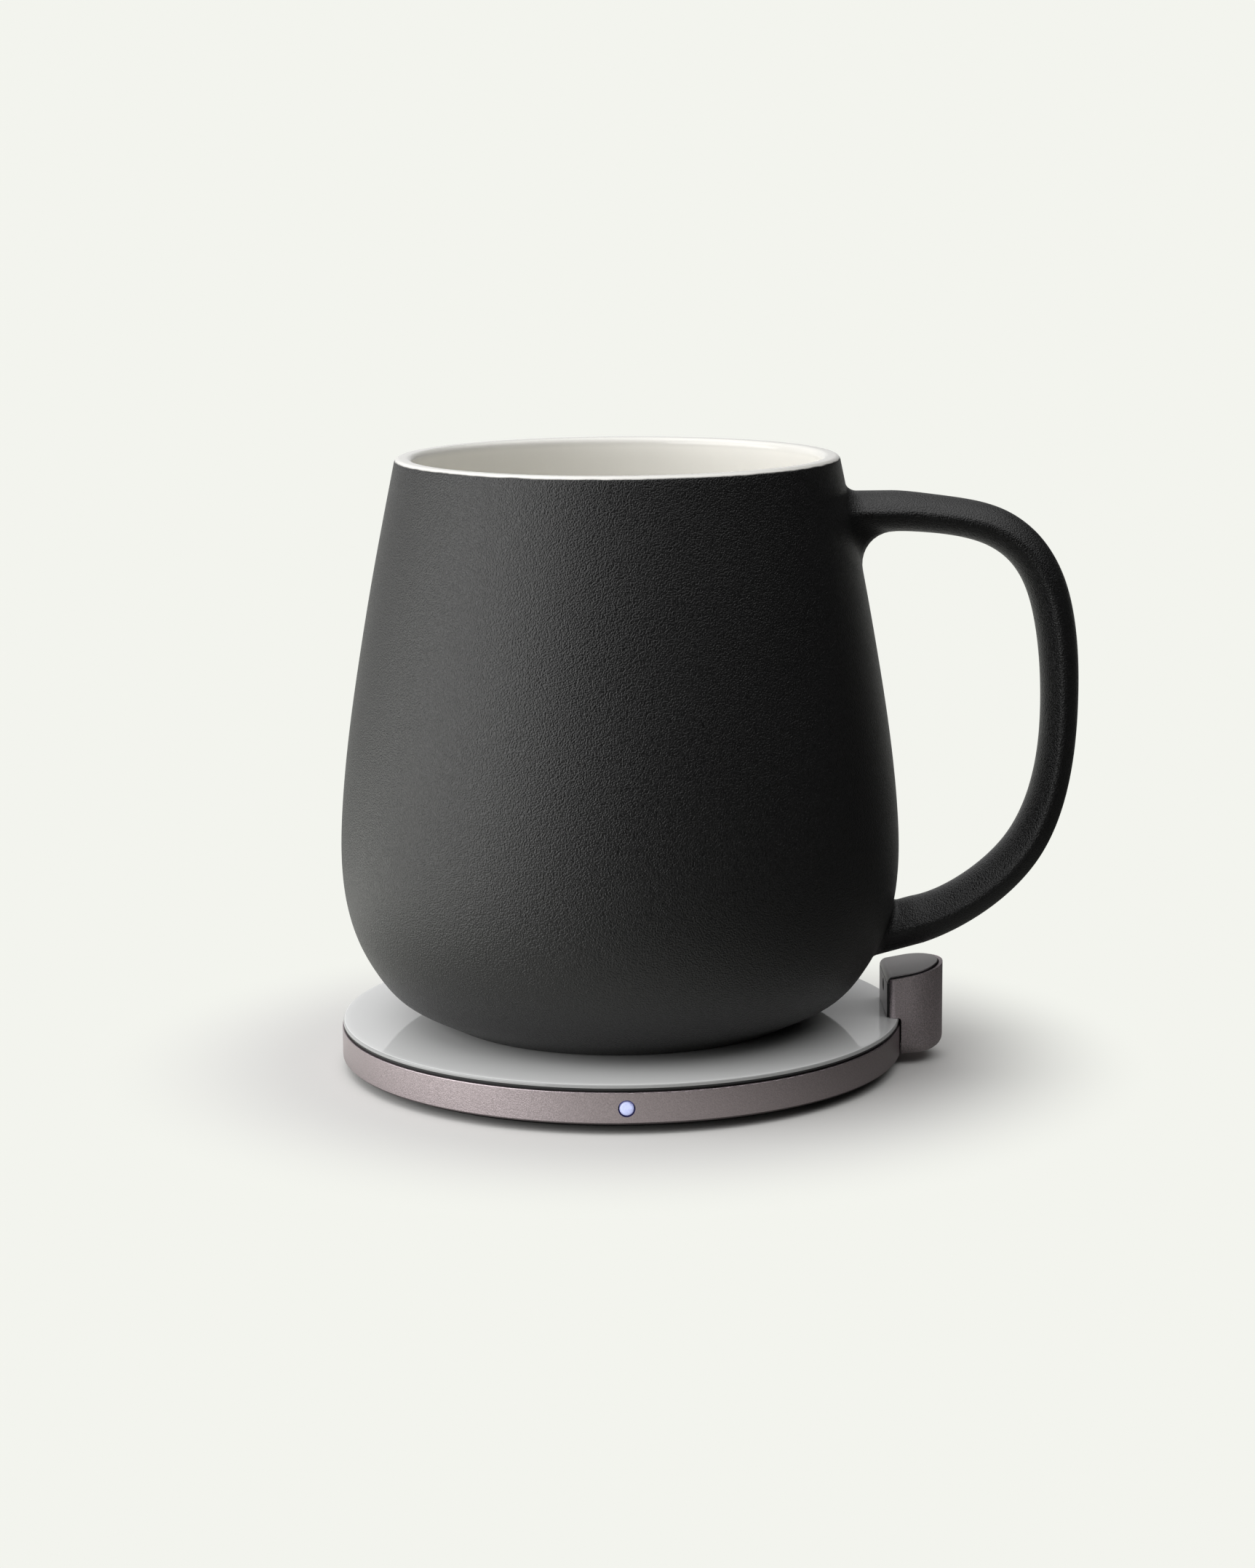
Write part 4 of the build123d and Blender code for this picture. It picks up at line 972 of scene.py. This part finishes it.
class DOCK_OT_post(bpy.types.Operator):
    """Build the post's sleeve, its inclined cap and its front strip"""
    bl_idname = "dock.post"
    bl_label = "Sensor Post"

    def execute(self, context):
        _, size, _, _ = sizes()
        uncut_top = size.top_height + 4 * CUT_OVERRUN
        self.make_sleeve(size, uncut_top)
        self.make_cap(size, uncut_top)
        self.make_face(size)
        return {"FINISHED"}

    def make_sleeve(self, size, uncut_top):
        """The sleeve, open at the top and at the front, with room for the ring under it."""
        bm = post_prism(size, 0.0, size.sleeve_front, size.sleeve_bottom, uncut_top)
        front = size.sleeve_front + NEAR
        upright = [edge for edge in edges_where(bm, lambda co: co.x < front)
                   if abs(edge.verts[0].co.y - edge.verts[1].co.y) < NEAR]
        round_off(bm, upright, size.front_round, 8)
        base = [edge for edge in edges_where(bm, lambda co: abs(co.z - size.sleeve_bottom) < NEAR)
                if any(vert.co.x > front + size.front_round for vert in edge.verts)]
        round_off(bm, base, size.sleeve_round, 10)
        slope_cut(bm, size, size.rim_drop)
        upper = edges_where(bm, lambda co: co.x < front and co.z > size.hole_height)
        round_off(bm, upper, size.sleeve_corner, 8)
        piece = finish_piece("post_metal_sleeve", bm, "dock", ["post_sleeve"],
                             ["post metal"])
        inner = post_prism(size, size.sleeve_wall, size.sleeve_front - CUT_OVERRUN,
                           size.sleeve_bottom + size.sleeve_floor, uncut_top + CUT_OVERRUN)
        ring_room = cylinder(size.clearance_radius, -CUT_OVERRUN, size.glass_top + POST_GAP,
                             BORE_STEPS)
        top_edge = edges_where(ring_room, lambda co: co.z > size.glass_top)
        round_off(ring_room, top_edge, size.overhang_round, 6)
        carve(piece, inner, ring_room)
        soften(piece, size.rim_break, 40.0)

    def make_cap(self, size, uncut_top):
        """The inclined top strip, which turns down at the front; its sides, which face into the
        gaps, get a dark finish as painted shade.
        """
        seam = size.top_height - size.cap_lip
        bm = post_prism(size, size.strip_inset, size.strip_front, seam, uncut_top)
        slope_cut(bm, size, 0.0)
        front = edges_where(bm, lambda co: co.x < size.strip_front + NEAR and co.z > seam + NEAR)
        round_off(bm, front, size.cap_front, 10)
        spare = [face for face in bm.faces if face.normal.z < -0.5
                 or (abs(face.normal.z) < 0.1 and face.normal.x > -0.05)]
        bmesh.ops.delete(bm, geom=spare, context="FACES")
        piece = finish_piece("post_metal_cap", bm, "dock", ["post_cap"],
                             ["strip metal", "frame plastic and gap shade"])
        modify(piece, "SOLIDIFY", thickness=size.strip_thickness, offset=-1.0,
               use_even_offset=True)
        # Painted shade: the cap's sides in the gaps get the dark frame finish
        soften(piece, FINE_BREAK, 50.0,
               dark=lambda normal: normal.x > -0.2 and abs(normal.z) < 0.35)

    def make_face(self, size):
        """The front strip with the sensor's hole; its edges and the hole's wall get a dark finish
        as painted shade.
        """
        top = size.top_height - size.cap_lip - size.seam
        bottom = size.glass_top + POST_GAP
        bm = bmesh.new()
        bmesh.ops.create_cube(bm, size=1.0)
        width = 2 * (size.half_width - size.strip_inset)
        stretch(bm, (size.strip_thickness, width, top - bottom))
        middle = size.strip_front + size.strip_thickness / 2
        shift(bm, (middle, 0, (top + bottom) / 2))
        piece = finish_piece("post_front_strip", bm, "dock", ["post_face"],
                             ["strip metal", "frame plastic and gap shade"])
        hole = cylinder(size.hole_radius, -CUT_OVERRUN, CUT_OVERRUN, SMALL_STEPS)
        quarter_turn(hole, "Y")
        shift(hole, (middle, 0, size.hole_height))
        carve(piece, hole)
        # Painted shade: the strip's edges and the hole's wall get the dark frame finish
        soften(piece, THIN_BREAK, 50.0, dark=lambda normal: abs(normal.x) < 0.5)


class DOCK_OT_indicator(bpy.types.Operator):
    """Turn the glowing light guide at the ring's front"""
    bl_idname = "dock.indicator"
    bl_label = "Indicator"

    def execute(self, context):
        _, size, _, _ = sizes()
        low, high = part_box("indicator_lens")
        depth = high.y - low.y
        points = [(0.0, 0.0), (size.lens_radius, 0.0), (size.lens_radius, depth - FINE_BREAK),
                  (size.lens_radius * 0.5, depth - 0.02 * MM), (0.0, depth)]
        bm = turned(points, {2: (size.lens_dome, 5)}, SMALL_STEPS)
        quarter_turn(bm, "X")
        shift(bm, (0, high.y, size.socket_middle))
        finish_piece("indicator_light_guide", bm, "dock", ["indicator_lens"],
                     ["lit indicator"], 60)
        return {"FINISHED"}


class DOCK_OT_socket(bpy.types.Operator):
    """Lay the rows of gold contacts on the power socket's tongue"""
    bl_idname = "dock.socket"
    bl_label = "Socket Contacts"

    def execute(self, context):
        _, size, _, _ = sizes()
        _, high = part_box("usb_tongue")
        bm = bmesh.new()
        for side in (-1, 1):
            for index in range(CONTACTS):
                made = bmesh.ops.create_cube(bm, size=1.0)["verts"]
                stretch(bm, CONTACT_SIZE, made)
                across = (index - (CONTACTS - 1) / 2) * CONTACT_PITCH
                shift(bm, (across, high.y - CONTACT_DEPTH,
                           size.socket_middle + side * CONTACT_HEIGHT), made)
        round_off(bm, bm.edges[:], CONTACT_BREAK, 1)
        finish_piece("socket_contacts", bm, "dock", [], ["contact gold"])
        return {"FINISHED"}


# Carried over nodes that are shown smooth: their piece's name, body, slot and finish
SMOOTHED = {
    "dock_ring": ("metal_ring", "dock", "ring_metal", "ring metal"),
    "bottom_cover": ("lower_cover", "dock", "cover_plastic", "cover plastic"),
    "foot_pad": ("soft_foot", "dock", "silicone", "foot silicone"),
    "post_frame": ("post_inner_frame", "dock", "frame_plastic", "frame plastic and gap shade"),
    "usb_shell": ("socket_shell", "dock", "socket_steel", "socket steel"),
    "base_plate": ("mug_base_plate", "mug", "base_plastic", "base plastic"),
}


class DOCK_OT_housing(bpy.types.Operator):
    """Smooth copies of ring, cover, foot, post frame, socket shell and base plate"""
    bl_idname = "dock.housing"
    bl_label = "Housing"

    def execute(self, context):
        for node, (name, body, slot, finish) in SMOOTHED.items():
            bm = bmesh.new()
            bm.from_mesh(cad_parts[node].data)
            bmesh.ops.remove_doubles(bm, verts=bm.verts, dist=MERGE)
            piece = finish_piece(name, bm, body, [node], [finish], 28)
            if node == "dock_ring":
                self.round_wall(piece)
        return {"FINISHED"}

    def round_wall(self, piece):
        """Points the normals of the ring's outer wall straight away from its axis."""
        mesh = piece.data
        radius = max(math.hypot(vert.co.x, vert.co.y) for vert in mesh.vertices)
        normals = [Vector(corner.vector) for corner in mesh.corner_normals]
        for face in mesh.polygons:
            for corner in face.loop_indices:
                place = mesh.vertices[mesh.loops[corner].vertex_index].co
                outward = Vector((place.x, place.y, 0.0))
                if outward.length > radius - NEAR and face.normal.dot(outward) > 0.9 * radius:
                    normals[corner] = outward.normalized()
        mesh.normals_split_custom_set(normals)


# Nodes that are shown as they are, by finish
CARRIED = {
    "film": ("heater_film", "coil_film", "filter_capacitors", "sensor_cable"),
    "foam": ("insulation_pad", "foam_post"),
    "base plastic": ("thermal_cutout", "coil_carrier"),
    "chip plastic": ("receiver_chips", "plate_thermistor", "power_chips", "usb_tongue"),
    "circuit board": ("receiver_board", "main_board", "sensor_board"),
    "ferrite": ("receiver_ferrite", "coil_ferrite", "power_inductor"),
    "copper wire": ("receiver_coil", "sending_coil"),
    "foot silicone": ("base_seal",),
    "screw steel": ("cover_screws", "board_screws", "post_screws"),
    "frame plastic and gap shade": ("sensor_connector",),
    "lit indicator": ("indicator_led",),
    "window": ("sensor_window",),
    "socket steel": ("sensor_can",),
}


class DOCK_OT_inner(bpy.types.Operator):
    """Give the carried over inner pieces their finishes"""
    bl_idname = "dock.inner"
    bl_label = "Inner Pieces"

    def execute(self, context):
        for finish, nodes in CARRIED.items():
            for node in nodes:
                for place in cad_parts[node].material_slots:
                    place.material = bpy.data.materials[finish]
        return {"FINISHED"}


# Distances from the dock's middle: where the mirrored floor's painted glow fades in, leaving a
# painted shadow under the dock, where it turns from the floor by the dock to the far floor, and
# where the seen floor, with its shadow and the painted shade of its darker colour, ends
FLOOR_START = (47 * MM, 56 * MM)
FLOOR_FAR = (90 * MM, 140 * MM)
SHADOW_END = (55 * MM, 95 * MM)
# Directions to the lit floor at the left, the backdrop and the lights over left and front
LEFT = (-0.998, -0.07)
BACK = (-0.35, 0.94, 0.0)
KEY = (-0.55, -0.05, 0.83)
FRONT = (-0.3, -0.72, 0.62)


class MUG_OT_stage(bpy.types.Operator):
    """Set up camera, soft lights, floor and pale background"""
    bl_idname = "mug.stage"
    bl_label = "Stage"

    def execute(self, context):
        scene = context.scene
        studio = scene.mug_studio
        scene.camera = self.make_camera(studio)
        self.make_soft_box(studio)
        self.make_floor(studio)
        scene.world = self.make_world(studio)
        scene.view_settings.view_transform = "Standard"
        return {"FINISHED"}

    def make_camera(self, studio):
        """A camera at the photo's viewing angle, for a frame taller than wide."""
        data = bpy.data.cameras.new("camera")
        data.sensor_width = 36.0
        data.lens = studio.focal / PHOTO_HEIGHT * data.sensor_width
        data.clip_start = 0.01
        data.clip_end = 100.0
        camera = add_object("camera", data)
        camera.location = studio.camera_place
        aim = Matrix.Rotation(studio.pan, 3, "Z")
        look = Matrix.Rotation(math.pi / 2 - studio.tilt, 3, "X")
        lean = Matrix.Rotation(studio.roll, 3, "Z")
        camera.rotation_euler = (aim @ look @ lean).to_euler()
        return camera

    def make_soft_box(self, studio):
        """A large soft box at the left, turned to the object at its own height."""
        data = bpy.data.lights.new("left soft box", "AREA")
        data.shape = "RECTANGLE"
        data.size = studio.box_width
        data.size_y = studio.box_height
        data.energy = studio.box_glow * math.pi * data.size * data.size_y
        light = add_object("left soft box", data)
        light.location = studio.box_place
        aim = Vector((0.0, 0.0, studio.box_place[2])) - light.location
        light.rotation_euler = aim.to_track_quat("-Z", "Y").to_euler()

    def make_floor(self, studio):
        """A pale floor that keeps the object's shadow by the dock, where its darker colour is
        painted shade; mirrors see a painted glow on it, bright at left and back, dark under the
        dock.
        """
        bm = bmesh.new()
        bmesh.ops.create_grid(bm, x_segments=1, y_segments=1, size=6.0)
        floor = add_mesh("floor", bm)
        paint, place = new_paint("pale floor")
        across = paint.axis(place, "X")
        deep = paint.axis(place, "Y")
        away = (across * across + deep * deep) ** 0.5
        # Painted light and shadow for mirrors: a glow brighter to the left and at the back, dimmer
        # to the right, none under the dock
        left = (across * LEFT[0] + deep * LEFT[1]) / away
        near = paint.spread(left, -1.2, 0.4, 0.1, studio.near_floor)
        far = (paint.spread(left, 0.46, 0.98, 0.05, studio.left_floor)
               + paint.spread(deep / away, 0.7, 1.0, 0.0, studio.back))
        lit = near + (far - near) * paint.spread(away, *FLOOR_FAR)
        lit = lit * paint.spread(away, *FLOOR_START)
        camera, mirrored = paint.looks()
        # Painted shade: the seen floor by the dock has a darker colour than the background
        matt = paint.node("ShaderNodeBsdfDiffuse", {"Color": colour4(studio.floor)})
        values = {"Color": colour4(studio.background), "Strength": camera + mirrored * lit}
        pale = paint.node("ShaderNodeEmission", values)
        share = paint.spread(away, *SHADOW_END) * camera + mirrored
        mixed = paint.node("ShaderNodeMixShader", {0: share, 1: matt, 2: pale})
        paint.node("ShaderNodeOutputMaterial", {"Surface": mixed})
        floor.data.materials.append(paint.owner)

    def make_world(self, studio):
        """A dim room with a lit ceiling, backdrop and two lights, pale where a camera looks."""
        world = bpy.data.worlds.new("studio")
        paint = Paint(world)
        direction = paint.node("ShaderNodeTexCoord", output="Generated")
        light = paint.spread(paint.axis(direction, "Z"), 0.5, 0.9) * studio.top
        for aim, low, high, glow in ((BACK, 0.7, 0.97, studio.back), (KEY, 0.82, 0.95, studio.key),
                                     (FRONT, 0.8, 0.97, studio.front)):
            light = light + paint.spread(paint.toward(direction, aim), low, high) * glow
        camera, _ = paint.looks()
        colour = paint.blend(camera, studio.light, studio.background)
        strength = camera + (1 - camera) * (light + studio.fill)
        values = {"Color": colour, "Strength": strength}
        shader = paint.node("ShaderNodeBackground", values)
        paint.node("ShaderNodeOutputWorld", {"Surface": shader})
        return world


class MUG_PT_panel(bpy.types.Panel):
    """Lists the pieces and their sizes"""
    bl_idname = "MUG_PT_panel"
    bl_label = "Self Heating Mug"
    bl_space_type = "VIEW_3D"
    bl_region_type = "UI"
    bl_category = "Mug"

    def draw(self, context):
        for operator in OPERATORS:
            self.layout.operator(operator.bl_idname)
        for name, kind in GROUPS.items():
            box = self.layout.box()
            box.label(text=kind.__doc__)
            for size in kind.__annotations__:
                box.prop(getattr(context.scene, name), size)


GROUPS = {
    "mug_sizes": MugSizes,
    "dock_sizes": DockSizes,
    "mug_finishes": Finishes,
    "mug_studio": Studio,
}
OPERATORS = (MUG_OT_finishes, MUG_OT_shell, MUG_OT_handle, DOCK_OT_glass, DOCK_OT_housing,
             DOCK_OT_post, DOCK_OT_indicator, DOCK_OT_socket, DOCK_OT_inner, MUG_OT_stage)


def register():
    """Registers all classes and hangs the property groups on the scene."""
    for name, group in GROUPS.items():
        bpy.utils.register_class(group)
        setattr(bpy.types.Scene, name, bpy.props.PointerProperty(type=group))
    for item in (*OPERATORS, MUG_PT_panel):
        bpy.utils.register_class(item)


def unregister():
    """Takes everything away again."""
    for item in (MUG_PT_panel, *reversed(OPERATORS)):
        bpy.utils.unregister_class(item)
    for name, group in GROUPS.items():
        delattr(bpy.types.Scene, name)
        bpy.utils.unregister_class(group)


def main():
    """Builds everything in order."""
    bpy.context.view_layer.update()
    register()
    for operator in OPERATORS:
        group, name = operator.bl_idname.split(".")
        getattr(getattr(bpy.ops, group), name)()
    bpy.context.view_layer.update()


if __name__ == "__main__":
    main()
